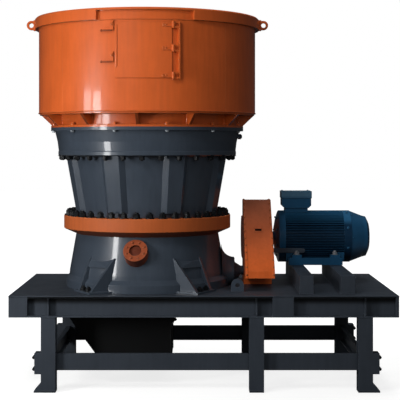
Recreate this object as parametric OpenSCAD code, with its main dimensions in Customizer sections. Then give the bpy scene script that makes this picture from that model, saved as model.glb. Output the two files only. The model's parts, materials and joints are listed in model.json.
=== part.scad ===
// Cone crusher on a steel platform with its V-belt drive and electric motor.
// Millimetres, +Z up, front is -Y. The origin is on the ground, midway along the
// platform, on the line that crosses the crusher's axis.

/* [Platform] */
// Length of the platform, along X
deck_len = 4680; // [4660:10:5000]
// Width of the platform, along Y
deck_wid = 2400; // [2380:10:2700]
// Height of the deck surface above the ground
deck_top = 1160; // [1140:10:1500]
// Thickness of the deck plates
deck_t = 12; // [8:1:30]
// Depth of the platform beams
beam_h = 248; // [200:2:300]
// Width of the platform beams' flanges
flange_w = 170; // [150:5:200]
// Thickness of the beams' flanges
flange_t = 16; // [10:1:24]
// Thickness of the beams' webs
web_t = 12; // [8:1:20]
// Distance from the deck's edge back to the beams
beam_setback = 10; // [5:1:30]
// Width of the cross beam at the left end
left_cross_w = 225; // [180:5:260]
// Width of the cross beam between crusher and motor
mid_cross_w = 254; // [200:2:280]
// Left face of that cross beam, measured from the middle legs
mid_cross_gap = 102; // [95:1:120]
// Thickness of the plate that closes the right end
end_plate_t = 35; // [20:1:50]
// Half the side of the square discharge opening in the deck
opening_half = 760; // [720:5:780]
// Weld gap between deck plates
plate_gap = 2; // [2:1:4]
// Radius of the deck's lifting lugs
lug_r = 78; // [60:1:90]
// Thickness of a lifting lug
lug_t = 30; // [20:1:40]
// Diameter of the hole in a lifting lug
lug_hole_d = 52; // [40:1:60]
// Place of the lifting lugs, measured from the crusher's axis
lug_x = 1143; // [1120:1:1160]
// Distance from the crusher's axis to the lifting lugs, along Y
lug_y = 775; // [740:5:900]

/* [Legs] */
// Distance from the platform's left end to the left legs
leg_left_in = 475; // [460:5:520]
// Distance from the crusher's axis to the middle legs
leg_mid_in = 1360; // [1350:5:1380]
// Distance from the platform's right end to the right legs
leg_right_in = 400; // [380:5:440]
// Width of a leg, along X
leg_w = 175; // [150:5:200]
// Thickness of the legs' flanges
leg_flange_t = 18; // [12:1:26]
// Thickness of the legs' webs
leg_web_t = 14; // [10:1:20]
// Thickness of a base plate
base_t = 20; // [15:1:40]
// How far a corner leg's base plate reaches outwards
base_reach = 85; // [75:1:110]
// Height of the gussets on the base plates
gusset_h = 98; // [60:2:150]
// Thickness of gussets and stiffeners
gusset_t = 16; // [10:1:20]
// Diameter of the anchor bolt holes
anchor_d = 33; // [22:1:40]
// How far the bracing bracket stands out from a corner leg
bracket_reach = 78; // [50:2:100]
// Height of the bracket's lower edge
bracket_z = 221; // [180:1:260]
// Height of the bracket
bracket_h = 249; // [200:1:280]

/* [Lower rails] */
// Height of the rails' lower edge
rail_z = 252; // [200:2:300]
// Depth of the rails
rail_h = 200; // [150:5:240]
// Width of the rails
rail_w = 60; // [40:1:60]
// Thickness of the rails' walls
rail_t = 12; // [8:1:16]
// Distance from the legs' outer face back to the rails
rail_setback = 90; // [30:1:90]

/* [Discharge chute] */
// Height of the chute's outlet above the ground
chute_z = 200; // [150:5:260]
// Wall thickness of the chute
chute_t = 12; // [8:1:20]
// Half the width of the chute, along Y
chute_half_w = 730; // [650:5:740]
// Right wall of the chute, measured from the crusher's axis
chute_right = 319; // [300:1:380]
// Left edge of the outlet, measured from the crusher's axis
chute_left = 472; // [420:1:520]
// Height where the right wall turns upright, below the beams
chute_knee = 55; // [40:5:200]
// Height where the left wall turns inwards, below the beams
chute_shoulder = 71; // [50:1:120]
// How far the chute's clamp stands out on its right wall
chute_clamp = 40; // [30:1:60]

/* [Bottom shell] */
// Crusher's axis, along X
crusher_x = -725; // [-740:1:-710]
// Radius of the base flange
base_flange_r = 1050; // [1035:5:1080]
// Height of the base flange
base_flange_h = 101; // [60:1:140]
// Height over which the wall flares into the base flange
flare_h = 107; // [90:1:120]
// Outer radius at the foot of the bottom shell
shell_foot_r = 1003; // [980:1:1020]
// Outer radius at the top of the bottom shell
shell_top_r = 921; // [905:1:940]
// Height of the bottom shell
shell_h = 676; // [660:1:720]
// Wall thickness of the bottom shell
shell_wall = 110; // [80:5:130]
// Radius of the hub inside the bottom shell
hub_r = 430; // [400:5:480]
// Height of the hub's lower face above the deck
hub_low = 60; // [40:5:100]
// How far the hub rises above the bottom shell
hub_rise = 60; // [40:5:100]
// Width of the arms that carry the hub
arm_w = 170; // [120:5:220]
// Height of those arms
arm_h = 420; // [300:10:500]
// Radius of the adjustment cylinder
cylinder_r = 250; // [220:5:280]
// Radius of the cylinder's upper flange
cylinder_flange_r = 290; // [280:5:300]
// Length of the adjustment cylinder below the deck
cylinder_len = 600; // [500:10:700]
// Thickness of the cylinder's upper flange
cylinder_flange_t = 60; // [40:5:80]
// Size of the bevel round the cylinder's foot
cylinder_bevel = 30; // [20:1:50]

/* [Crusher feet] */
// Direction in which a foot's ribs run, in degrees from X
foot_deg = 30; // [26:1:36]
// Distance from the crusher's axis to the ribs' toes
foot_reach = 1087; // [1070:1:1100]
// Offset of the inner rib from the crusher's axis
foot_inner = 255; // [240:1:270]
// Offset of the outer rib from the crusher's axis
foot_outer = 585; // [560:1:600]
// Thickness of a foot's rib
foot_rib_t = 45; // [30:1:60]
// Height at which the ribs meet the shell, above the deck
foot_rib_h = 419; // [380:1:440]
// Thickness of a foot's pad
foot_pad_t = 24; // [20:1:40]
// Margin of the pad round the ribs
foot_margin = 40; // [30:1:50]
// Height of the lower edge of the tie plate between the ribs, above the deck
foot_tie_low = 300; // [280:5:330]
// Thickness of that plate, measured level
foot_tie_t = 34; // [25:1:45]

/* [Pinion shaft housing] */
// Height of the pinion shaft above the deck
pinion_h = 180; // [176:1:210]
// Radius of the pinion shaft housing
pinion_r = 173; // [150:1:175]
// Radius of the housing's end cover
pinion_cover_r = 119; // [110:1:130]
// Radius of the flare where the housing leaves the shell
pinion_flare = 165; // [140:5:170]
// End of the housing's straight part, measured from the crusher's axis
pinion_reach = 1118; // [1100:1:1130]
// Length of the tapered end cover
pinion_cover_len = 93; // [80:1:100]
// Radius of the pinion shaft
pinion_shaft_r = 60; // [40:1:80]
// Radius of the housing's spigot in the shell
pinion_spigot_r = 132; // [120:1:140]

/* [Inspection cover] */
// Outer diameter of the round cover
cover_d = 298; // [240:2:300]
// Diameter of the recess in the cover
cover_recess_d = 150; // [120:5:160]
// Depth of that recess
cover_recess = 40; // [20:1:45]
// Height of the cover's centre above the deck
cover_h = 528; // [500:1:535]
// Distance from the shell's wall out to the centre of the cover's face
cover_out = 78; // [74:1:90]
// Direction of the cover, in degrees from the front towards +X
cover_deg = -5.9; // [-10:0.1:0]
// Upward tilt of the cover, in degrees
cover_tilt = 34; // [28:1:36]

/* [Clamping ring] */
// Outer radius of the clamping ring
ring_r = 1078; // [1060:1:1110]
// Height of the clamping ring's upright face
ring_face_h = 170; // [140:5:200]
// Height of the slope below that face
ring_slope_h = 65; // [50:1:90]
// Inner radius of the ring, and outer radius of the top shell in it
ring_bore_r = 880; // [870:1:890]

/* [Top shell] */
// Height of the conical body above the ring
cone_h = 743; // [700:1:780]
// Height of the cylindrical foot of the conical body
cone_foot_h = 60; // [40:5:80]
// Radius of the pockets at the foot of the conical body
pocket_low_r = 887; // [880:1:895]
// Radius of the pockets at the top of the conical body
pocket_top_r = 1015; // [1005:1:1025]
// How far the ribs stand out from the pockets
rib_out = 53; // [35:1:60]
// Number of ribs round the conical body
cone_ribs = 8; // [6:1:10]
// Half the width of a rib's outer face, in degrees
rib_crest_deg = 5.5; // [4:0.1:7]
// Half the width of a rib at its root, in degrees
rib_root_deg = 11; // [9:0.1:13]
// Outer radius of the fillet under the collar
collar_root_r = 1035; // [1028:1:1045]
// Outer radius at the foot of the collar
collar_low_r = 1152; // [1140:1:1165]
// Outer radius at the top of the collar's wall
collar_top_r = 1161; // [1150:1:1175]
// Outer radius of the collar where it meets its upper flange
collar_neck_r = 1195; // [1185:1:1205]
// Outer radius of the collar's upper flange
collar_flange_r = 1245; // [1230:1:1255]
// Height of that fillet
collar_root_h = 20; // [10:1:30]
// Height of the collar's wall
collar_wall_h = 174; // [150:2:200]
// Height of the flare above that wall
collar_flare_h = 140; // [120:1:160]
// Thickness of the collar's upper flange
collar_flange_t = 40; // [30:1:60]
// Inner radius at the top of the collar
collar_bore_r = 1040; // [1000:5:1060]
// Diameter of the pressure relief fitting on the collar's right side
fitting_d = 70; // [50:1:80]

/* [Crushing chamber] */
// Radius of the concave's mouth
concave_top_r = 860; // [830:5:900]
// Radius of the concave's foot
concave_low_r = 790; // [780:1:800]
// Thickness of the concave at its foot
concave_low_t = 40; // [30:1:60]
// Thickness of the concave at its mouth
concave_top_t = 60; // [40:1:80]
// Height of the concave's foot above the bottom shell
concave_low = 300; // [250:5:350]
// Height of the concave
concave_h = 828; // [780:2:860]
// Running gap at the foot between mantle and concave
chamber_gap = 30; // [15:1:50]
// Radius at the top of the mantle
mantle_top_r = 520; // [460:5:560]
// Height of the mantle's upright skirt
mantle_skirt_h = 70; // [50:5:100]
// Inward lean of the mantle above its skirt
mantle_lean = 30; // [20:1:40]
// Radius of the head nut on the mantle
head_nut_r = 370; // [340:5:400]
// Height of the head nut's slope
head_nut_h = 60; // [40:5:80]
// Radius of the main shaft in the spider
shaft_r = 150; // [120:5:180]
// Radius of the spider's hub
spider_hub_r = 270; // [240:5:300]
// Width of a spider arm
spider_arm_w = 240; // [200:5:280]
// Depth of the spider's hub
spider_h = 215; // [190:5:240]
// Depth of the shaft's socket in the spider
socket_h = 100; // [80:5:120]
// Clearance above the shaft in its socket
socket_gap = 10; // [5:1:20]
// Taper at the foot of the spider's hub
spider_taper = 30; // [20:1:40]
// Height of the cap on the spider
spider_cap_h = 160; // [120:5:200]
// How far the cap reaches over the hub
spider_cap_over = 20; // [10:1:30]
// Slope round the cap's edge
spider_cap_slope = 80; // [60:5:100]

/* [Hopper] */
// Outer radius of the hopper
hopper_r = 1400; // [1385:1:1440]
// Thickness of the hopper's wall
hopper_t = 12; // [8:1:20]
// Height of the hopper's wall
hopper_h = 1080; // [1070:10:1200]
// Height of the gusseted base under the hopper
hopper_base_h = 185; // [170:1:200]
// Thickness of the base's ring plates
hopper_base_t = 25; // [15:1:30]
// Set-back of the upper ring plate's edge behind the hopper's wall
hopper_base_in = 12; // [5:1:20]
// Set-back of the base's wall behind the collar's flange
base_wall_in = 65; // [50:1:80]
// Thickness of that wall at its top
base_wall_t = 30; // [15:1:40]
// Number of gussets round the base
hopper_gussets = 12; // [8:1:16]
// Thickness of a base gusset
hopper_gusset_t = 38; // [20:1:50]
// How far the rim stands out from the wall
rim_out = 50; // [30:1:70]
// Height of the rim
rim_h = 140; // [100:5:180]
// Height of the edge that runs on over the gap in the rim
rim_edge_h = 28; // [15:1:40]
// Bevel along the top of that edge
rim_bevel = 16; // [8:1:24]
// Left end of the gap in the rim, in degrees from the front
rim_gap_left = -22.5; // [-25:0.5:-20]
// Right end of the gap in the rim, in degrees from the front
rim_gap_right = 25; // [22:0.5:28]
// Thickness of a lifting eye
eye_t = 40; // [25:1:60]
// Diameter of the hole in a lifting eye
eye_hole_d = 60; // [40:1:70]
// Radius of a lifting eye
eye_r = 60; // [50:1:60]

/* [Hatch] */
// Left edge of the hatch, in degrees from the front towards +X
hatch_left_deg = -13.5; // [-16:0.5:-10]
// Hinge line of the hatch, in degrees from the front towards +X
hinge_deg = 14.6; // [13:0.1:16]
// Lower edge of the hatch above the hopper's foot
hatch_low = 387; // [360:1:400]
// Height of the hatch
hatch_h = 660; // [600:5:670]
// Thickness of the hatch
hatch_t = 10; // [6:1:14]
// Clearance between hatch and hopper wall
hatch_gap = 8; // [7:1:12]
// Overlap of the hatch over the opening's edges
hatch_lap = 40; // [30:1:60]
// Distance from the hopper wall to the hinge pin
hinge_out = 46; // [45:1:56]
// Diameter of the hinge pin
hinge_pin_d = 16; // [10:1:20]
// Outer diameter of the hinge barrels
hinge_barrel_d = 40; // [34:1:44]
// Length of a hinge's middle barrel
hinge_barrel_len = 40; // [30:1:60]
// Thickness of the hinges' leaves
leaf_t = 12; // [8:1:16]
// Height of a clamp
clamp_h = 120; // [90:5:140]
// Thickness of a clamp's bar
clamp_t = 36; // [24:1:44]

/* [Belt guard] */
// Left face of the belt guard, measured from the end of the pinion housing
guard_gap = 41; // [36:1:60]
// Width of the belt guard
guard_w = 366; // [340:1:370]
// Front of the guard, ahead of the crusher's axis
guard_front = 610; // [580:5:640]
// Front end of the guard's flat top, behind the crusher's axis
guard_top_y = 220; // [180:5:260]
// Rear of the guard's upright body, behind the crusher's axis
guard_rear = 430; // [400:5:460]
// Height of the guard above the deck
guard_h = 1080; // [1040:5:1120]
// Height at which the front face starts to slope, above the deck
guard_slope_h = 231; // [200:1:260]
// Height of the front face's foot above the deck
guard_lip_h = 141; // [110:1:180]
// Set-back of the guard's plinth behind its front face
guard_plinth = 600; // [560:5:640]
// Clearance of the guard round the motor pulley's centre
guard_pulley_r = 280; // [250:5:320]

/* [Motor] */
// Height of the motor's axis above its feet
motor_h = 355; // [354:1:400]
// Distance from the crusher's axis back to the motor's axis
motor_y = 700; // [680:5:720]
// Distance from the belt guard to the motor
motor_gap = 70; // [60:1:90]
// Outer radius over the motor's fins and end shields
motor_r = 350; // [335:1:353]
// Height of the fins
fin_h = 34; // [20:1:45]
// Thickness of a fin
fin_t = 8; // [5:1:10]
// Number of fins
fin_count = 60; // [40:2:72]
// Length of the drive-end shield
shield_len = 144; // [130:1:170]
// Width of the band round the shield's rim
shield_band = 80; // [60:1:95]
// Height of that band
shield_step = 8; // [5:1:12]
// Length of the finned frame
frame_len = 786; // [760:1:800]
// Length of the ring at the fan end
end_ring_len = 97; // [80:1:110]
// Length of the fan cowl
cowl_len = 250; // [220:5:280]
// Radius of the cowl's rear edge
cowl_rear_r = 268; // [240:1:290]
// Set-back of the cowl's edge behind the motor's ring
cowl_in = 6; // [4:1:10]
// Radius round the cowl's rear edge
cowl_round = 60; // [40:5:80]
// Radius of the motor shaft
motor_shaft_r = 55; // [40:1:70]
// Centre of the terminal box, from the drive end of the finned frame
box_in = 159; // [150:1:180]
// Length of the terminal box
box_len = 393; // [370:1:420]
// Width of the terminal box
box_wid = 320; // [280:5:360]
// Height of the terminal box's lid
box_lid_h = 93; // [70:1:110]
// Height of the terminal box below its lid
box_h = 99; // [80:1:120]
// Height of the chamfer under the terminal box
box_chamfer_h = 34; // [20:1:50]
// Height of the box's neck above the fins
box_neck_h = 39; // [30:1:60]
// How far the lid reaches over the box
box_lid_over = 8; // [4:1:15]
// Set-back of the neck behind the box's sides
box_neck_in = 30; // [20:1:40]

/* [Motor stand] */
// Height of the stand beams above the deck
stand_h = 215; // [195:5:260]
// Width of a stand beam
stand_w = 170; // [150:5:180]
// Centre of the left stand beam, from the left end of the motor
stand_left_in = 287; // [270:1:300]
// Distance between the stand beams
stand_pitch = 507; // [490:1:530]
// Distance from the platform's front edge back to the stand beams
stand_setback = 195; // [150:5:240]
// Thickness of a foot bar under the motor
foot_bar_h = 94; // [70:1:100]
// Width of a foot bar
foot_bar_w = 120; // [100:5:140]
// Distance from the motor's axis to a foot bar
foot_bar_y = 290; // [280:5:300]
// Height of the bolt pads on the foot bars
foot_boss_h = 40; // [30:1:50]
// Length of a bolt pad
foot_boss_len = 125; // [110:5:140]
// Height of the webs between foot bars and frame, above the stand
foot_web_h = 160; // [140:5:180]
// Distance from the motor's axis to the webs' outer face
foot_web_y = 300; // [295:1:320]
// How far the foot bars reach past the stand beams
foot_bar_over = 35; // [20:1:40]

/* [Hidden] */
$fn = 96;

steel_grey = "#3c444d";
dark_grey = "#23272b";
orange = "#c8602c";
motor_blue = "#16334f";
black = "#121416";
bright_steel = "#8d9296";

full_turn = 360;
// Clearance where a piece lies against its seat
seat = 0.3;
// Overlap of two shapes that are fused
fuse = 5;

beam_z = deck_top - deck_t - beam_h;
beam_face_y = deck_wid / 2 - beam_setback;
beam_mid_y = beam_face_y - flange_w / 2;
beam_inner_y = beam_face_y - flange_w;
deck_left = -deck_len / 2;
deck_right = deck_len / 2;
leg_left_x = deck_left + leg_left_in;
leg_mid_x = crusher_x + leg_mid_in;
leg_right_x = deck_right - leg_right_in;
mid_cross_x = leg_mid_x + leg_w / 2 + mid_cross_gap;
mid_cross_right = mid_cross_x + mid_cross_w;
opening_left = crusher_x - opening_half;
opening_right = crusher_x + opening_half;

shell_top_z = deck_top + shell_h;
shell_bore_r = shell_top_r - shell_wall;
hub_low_z = deck_top + hub_low;
hub_top_z = shell_top_z + hub_rise;
pinion_z = deck_top + pinion_h;

ring_low_z = shell_top_z;
ring_face_z = ring_low_z + ring_slope_h;
ring_top_z = ring_face_z + ring_face_h;
cone_foot_z = ring_top_z + cone_foot_h;
cone_top_z = ring_top_z + cone_h;
rib_low_r = pocket_low_r + rib_out;
rib_top_r = pocket_top_r + rib_out;
collar_low_z = cone_top_z + collar_root_h;
collar_wall_z = collar_low_z + collar_wall_h;
collar_neck_z = collar_wall_z + collar_flare_h;
collar_top_z = collar_neck_z + collar_flange_t;
concave_low_z = ring_low_z + concave_low;
concave_top_z = concave_low_z + concave_h;
shell_liner_r = concave_low_r + concave_low_t;
spider_top_z = collar_top_z + hopper_base_t;
spider_z = spider_top_z - spider_h;

hopper_z = collar_top_z + hopper_base_h;
rim_z = hopper_z + hopper_h;
top_z = rim_z + rim_h;
rim_r = hopper_r + rim_out;
base_wall_r = collar_flange_r - base_wall_in;

guard_x = crusher_x + pinion_reach + pinion_cover_len + guard_gap;
guard_right = guard_x + guard_w;
motor_x = guard_right + motor_gap;
frame_x = motor_x + shield_len;
end_ring_x = frame_x + frame_len;
cowl_x = end_ring_x + end_ring_len;
motor_end = cowl_x + cowl_len;
motor_foot_z = deck_top + stand_h;
motor_z = motor_foot_z + motor_h;
core_r = motor_r - fin_h;
stand_left_x = motor_x + stand_left_in;
stand_right_x = stand_left_x + stand_pitch;

hatch_low_z = hopper_z + hatch_low;
hatch_top_z = hatch_low_z + hatch_h;
hinge_r = hopper_r + hinge_out;
hinge_x = crusher_x + hinge_r * sin(hinge_deg);
hinge_y = -hinge_r * cos(hinge_deg);
hatch_r = hopper_r + hatch_gap;
hatch_right_deg = hinge_deg - 0.3;
lap_deg = atan(hatch_lap / hopper_r);
hinge_levels = [for (s = [0.04, 0.53, 0.95]) hatch_low_z + s * hatch_h];
clamp_levels = [for (s = [0.29, 0.85]) hatch_low_z + s * hatch_h];
barrel_half = hinge_barrel_len / 2;
// Gap between the barrels of a hinge, along the pin
barrel_gap = 0.3;
// Angles of the leaves and of the post that carries the fixed ones
leaf_deg = 3.4;
post_deg = 0.7;

// ---- helpers ----

// Turns a shape drawn for +X to a bearing counted from the front towards +X
module at_bearing(deg) {
    translate([crusher_x, 0, 0]) rotate([0, 0, deg - 90]) children();
}

// Revolves an outline of [radius, height] points round the crusher's axis
module crusher_revolve(outline) {
    translate([crusher_x, 0, 0]) rotate_extrude() polygon(outline);
}

// Part of a ring between two bearings
module wall_arc(inner_r, outer_r, low_z, high_z, from_deg, to_deg) {
    translate([crusher_x, 0, 0]) rotate([0, 0, from_deg - 90])
        rotate_extrude(angle = to_deg - from_deg)
            translate([inner_r, low_z]) square([outer_r - inner_r, high_z - low_z]);
}

// Revolves an outline of [radius, X] points round the motor's axis
module motor_revolve(outline) {
    translate([0, motor_y, motor_z]) rotate([0, 90, 0]) rotate_extrude() polygon(outline);
}

// Extrudes an outline of [Y, Z] points along X
module along_x(from_x, length) {
    translate([from_x, 0, 0]) rotate([90, 0, 90]) linear_extrude(length) children();
}

// Extrudes an outline of [X, Z] points along Y
module along_y(from_y, length) {
    translate([0, from_y + length, 0]) rotate([90, 0, 0]) linear_extrude(length) children();
}

// Draws a shape at the front and, mirrored, at the rear
module front_and_rear() {
    children();
    mirror([0, 1, 0]) children();
}

// Points of an arc round [x, y], from one angle to another
function arc(x, y, r, from_deg, to_deg, steps) =
    [for (i = [0:steps]) let (a = from_deg + (to_deg - from_deg) * i / steps)
        [x + r * cos(a), y + r * sin(a)]];

// I-section of the platform beams, standing on the origin
module i_section() {
    translate([-flange_w / 2, 0]) square([flange_w, flange_t]);
    translate([-flange_w / 2, beam_h - flange_t]) square([flange_w, flange_t]);
    translate([-web_t / 2, 0]) square([web_t, beam_h]);
}

// ---- platform ----

module long_beam_solid(side) {
    bays = [[deck_left + left_cross_w, mid_cross_x],
            [mid_cross_right, deck_right - end_plate_t]];
    for (bay = bays)
        along_x(bay[0], bay[1] - bay[0])
            translate([side * beam_mid_y, beam_z]) i_section();
    for (x = [leg_left_x, leg_mid_x, leg_right_x])
        translate([x - gusset_t / 2, side * beam_mid_y - flange_w / 2, beam_z + flange_t])
            cube([gusset_t, flange_w, beam_h - 2 * flange_t]);
}

module front_beam() {
    color(steel_grey) long_beam_solid(-1);
}

module rear_beam() {
    color(steel_grey) long_beam_solid(1);
}

// Closed beam across the platform, up to the deck's surface edge at its ends
module cross_beam(from_x, width) {
    translate([from_x, -beam_face_y, beam_z]) cube([width, 2 * beam_face_y, beam_h]);
}

module cross_beam_left() {
    color(steel_grey) cross_beam(deck_left, left_cross_w);
}

module cross_beam_mid() {
    color(steel_grey) cross_beam(mid_cross_x, mid_cross_w);
}

module end_plate_right() {
    color(steel_grey) cross_beam(deck_right - end_plate_t, end_plate_t);
}

// The two beams that carry the crusher, left and right of the opening
module crusher_beams() {
    color(steel_grey)
        for (x = [opening_left - flange_w / 2, opening_right + flange_w / 2])
            along_y(-beam_inner_y, 2 * beam_inner_y) translate([x, beam_z]) i_section();
}

module deck_plate(x0, x1, y0, y1) {
    translate([x0, y0, deck_top - deck_t]) cube([x1 - x0, y1 - y0, deck_t]);
}

module deck_plates() {
    color(steel_grey) {
        deck_plate(deck_left, opening_left - plate_gap, -deck_wid / 2, deck_wid / 2);
        deck_plate(opening_right + plate_gap, deck_right, -deck_wid / 2, deck_wid / 2);
        deck_plate(opening_left, opening_right, -deck_wid / 2, -opening_half);
        deck_plate(opening_left, opening_right, opening_half, deck_wid / 2);
    }
}

// Round-topped lug with a hole, standing on the deck beside the crusher
module lifting_lug() {
    along_y(-lug_y - lug_t / 2, lug_t) translate([crusher_x + lug_x, deck_top]) difference() {
        union() {
            translate([0, lug_r]) circle(r = lug_r);
            translate([-lug_r, 0]) square([2 * lug_r, lug_r]);
        }
        translate([0, lug_r]) circle(d = lug_hole_d);
    }
}

module lifting_lugs() {
    color(steel_grey) front_and_rear() lifting_lug();
}

// ---- legs ----

// Bracing bracket on the outside of a corner leg, filling the leg's outer half
module leg_bracket(out) {
    reach = leg_w / 2 + bracket_reach;
    translate([out > 0 ? 0 : -reach, -flange_w / 2, bracket_z])
        cube([reach, flange_w, bracket_h]);
}

// Gussets from the base plate up the outside of a corner leg
module leg_gussets(out) {
    for (s = [-1, 1])
        translate([0, s * (flange_w - gusset_t) / 2 + gusset_t / 2, 0])
            rotate([90, 0, 0]) linear_extrude(gusset_t)
                polygon([[out * leg_w / 2, base_t],
                         [out * (leg_w / 2 + base_reach), base_t],
                         [out * leg_w / 2, base_t + gusset_h]]);
}

// H-section leg with its base plate; out is -1 or 1 for a corner leg and 0 for a middle one
module leg_solid(x, side, out) {
    translate([x, side * beam_mid_y, 0]) {
        translate([0, 0, base_t]) linear_extrude(beam_z - base_t) {
            for (s = [-1, 1])
                translate([-leg_w / 2, s * (flange_w - leg_flange_t) / 2 - leg_flange_t / 2])
                    square([leg_w, leg_flange_t]);
            square([leg_web_t, flange_w], center = true);
        }
        difference() {
            translate([-leg_w / 2 - (out < 0 ? base_reach : 0), -flange_w / 2, 0])
                cube([leg_w + abs(out) * base_reach, flange_w, base_t]);
            if (out != 0)
                translate([out * (leg_w + base_reach) / 2, 0, -1])
                    cylinder(d = anchor_d, h = base_t + 2);
        }
        if (out != 0) {
            leg_gussets(out);
            leg_bracket(out);
        }
    }
}

module leg_front_left() {
    color(steel_grey) leg_solid(leg_left_x, -1, -1);
}

module leg_front_mid() {
    color(steel_grey) leg_solid(leg_mid_x, -1, 0);
}

module leg_front_right() {
    color(steel_grey) leg_solid(leg_right_x, -1, 1);
}

module leg_rear_left() {
    color(steel_grey) leg_solid(leg_left_x, 1, -1);
}

module leg_rear_mid() {
    color(steel_grey) leg_solid(leg_mid_x, 1, 0);
}

module leg_rear_right() {
    color(steel_grey) leg_solid(leg_right_x, 1, 1);
}

// ---- lower rails ----

// Channel section, back at u = 0, opening towards +u, standing on v = 0
module channel_section() {
    square([rail_t, rail_h]);
    square([rail_w, rail_t]);
    translate([0, rail_h - rail_t]) square([rail_w, rail_t]);
}

// Rails between the legs of the front and rear sides
module side_rails() {
    bays = [[leg_left_x, leg_mid_x], [leg_mid_x, leg_right_x]];
    color(steel_grey) front_and_rear() for (bay = bays)
        along_x(bay[0] + leg_web_t / 2, bay[1] - bay[0] - leg_web_t)
            translate([-beam_face_y + rail_setback, rail_z]) channel_section();
}

// Rails between the front and rear legs of both ends
module end_rails() {
    color(steel_grey) for (end = [[leg_left_x, -1], [leg_right_x, 1]])
        along_y(-beam_inner_y, 2 * beam_inner_y)
            translate([end[0] + end[1] * rail_w / 2, rail_z])
                mirror([end[1] > 0 ? 1 : 0, 0]) channel_section();
}

// ---- discharge chute and adjustment cylinder ----

chute_out_left = crusher_x - chute_left;
chute_out_right = crusher_x + chute_right;
chute_in_left = opening_left - flange_w;
chute_in_right = opening_right - seat;
chute_top_z = beam_z + beam_h - flange_t;
chute_knee_z = beam_z - chute_knee;
chute_shoulder_z = beam_z - chute_shoulder;

// Width of a sloping plate's edge, seen along Y
chute_edge = chute_t * 1.4;

module chute_side_outline() {
    polygon([[chute_in_right, chute_top_z], [chute_out_right, chute_knee_z],
             [chute_out_right, chute_z], [chute_out_left, chute_z],
             [chute_in_left, chute_shoulder_z], [chute_in_left, beam_z],
             [opening_left + seat, beam_z], [opening_left + seat, chute_top_z]]);
}

// The sloping and upright plates, seen along Y
module chute_wall_outline() {
    polygon([[chute_in_left, beam_z], [chute_in_left, chute_shoulder_z],
             [chute_out_left, chute_z], [chute_out_left + chute_edge, chute_z],
             [chute_in_left + chute_t, chute_shoulder_z + chute_t / 2],
             [chute_in_left + chute_t, beam_z]]);
    polygon([[chute_in_right, chute_top_z], [chute_out_right, chute_knee_z],
             [chute_out_right, chute_z], [chute_out_right - chute_t, chute_z],
             [chute_out_right - chute_t, chute_knee_z + chute_t / 2],
             [chute_in_right - 2 * chute_edge, chute_top_z]]);
}

// Clamp that locks the chute, at the front of its right wall
module chute_clamp_solid() {
    translate([chute_out_right - fuse, -chute_half_w + chute_t, chute_knee_z - 2 * chute_clamp])
        cube([chute_clamp + fuse, 2 * chute_clamp, 1.8 * chute_clamp]);
}

module discharge_chute() {
    color(black) {
        along_y(-chute_half_w, chute_t) chute_side_outline();
        along_y(chute_half_w - chute_t, chute_t) chute_side_outline();
        along_y(-chute_half_w + chute_t / 2, 2 * chute_half_w - chute_t) chute_wall_outline();
        chute_clamp_solid();
    }
}

module adjustment_cylinder() {
    flange_z = hub_low_z - cylinder_flange_t;
    foot_z = deck_top - cylinder_len;
    color(dark_grey) crusher_revolve([
        [0, hub_low_z - seat], [cylinder_flange_r, hub_low_z - seat],
        [cylinder_flange_r, flange_z], [cylinder_r, flange_z],
        [cylinder_r, foot_z + 1.5 * cylinder_bevel], [cylinder_r - cylinder_bevel, foot_z], [0, foot_z]
    ]);
}

// ---- crusher, lower part ----

// Outer outline of the bottom shell from the deck up, grown by a clearance
function shell_outline(grow) = [
    [base_flange_r + grow, deck_top],
    [base_flange_r + grow, deck_top + base_flange_h + grow],
    [shell_foot_r + 4 + grow, deck_top + base_flange_h + flare_h / 2],
    [shell_foot_r + grow, deck_top + base_flange_h + flare_h],
    [shell_top_r + grow, shell_top_z]
];

module bottom_shell() {
    bore_x = crusher_x + shell_bore_r - fuse * 10;
    color(steel_grey) {
        difference() {
            crusher_revolve(concat(
                [[shell_bore_r, deck_top]], shell_outline(0), [[shell_bore_r, shell_top_z]]
            ));
            translate([bore_x, 0, pinion_z]) rotate([0, 90, 0])
                cylinder(r = pinion_spigot_r + seat, h = base_flange_r);
        }
        translate([crusher_x, 0, hub_low_z]) cylinder(r = hub_r, h = hub_top_z - hub_low_z);
        for (a = [90, 210, 330])
            translate([crusher_x, 0, hub_low_z]) rotate([0, 0, a])
                translate([hub_r - fuse * 6, -arm_w / 2, 0])
                    cube([shell_bore_r - hub_r + fuse * 12, arm_w, arm_h]);
    }
}

// Everything inside the bottom shell's outer surface and its seat clearance
module shell_envelope() {
    crusher_revolve(concat([[0, deck_top - 500], [base_flange_r + seat, deck_top - 500]],
                           shell_outline(seat), [[0, shell_top_z]]));
}

// Radius of the shell's conical wall at a height above the deck
function shell_wall_r(height) = shell_top_r
    + (shell_foot_r - shell_top_r) * (shell_h - height) / (shell_h - base_flange_h - flare_h);

// Radius where the feet's ribs meet the shell
foot_wall_r = shell_wall_r(foot_rib_h);

// Distance from the axis to the shell's wall, along the ribs, at an offset from the axis
function wall_along_rib(offset) = sqrt(pow(foot_wall_r, 2) - pow(offset, 2));

// Rib of a foot, at an offset from the axis, falling from the shell to its toe
module foot_rib(offset) {
    inner = wall_along_rib(offset);
    translate([0, -offset + foot_rib_t / 2, deck_top + seat]) rotate([90, 0, 0])
        linear_extrude(foot_rib_t)
            polygon([[inner - fuse * 8, 0], [foot_reach, 0], [foot_reach, foot_pad_t],
                     [inner, foot_rib_h], [inner - fuse * 8, foot_rib_h]]);
}

// Reach of a rib's sloping edge at a height above the deck
function rib_edge(offset, height) = foot_reach
    - (foot_reach - wall_along_rib(offset)) * (height - foot_pad_t) / (foot_rib_h - foot_pad_t);

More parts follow.
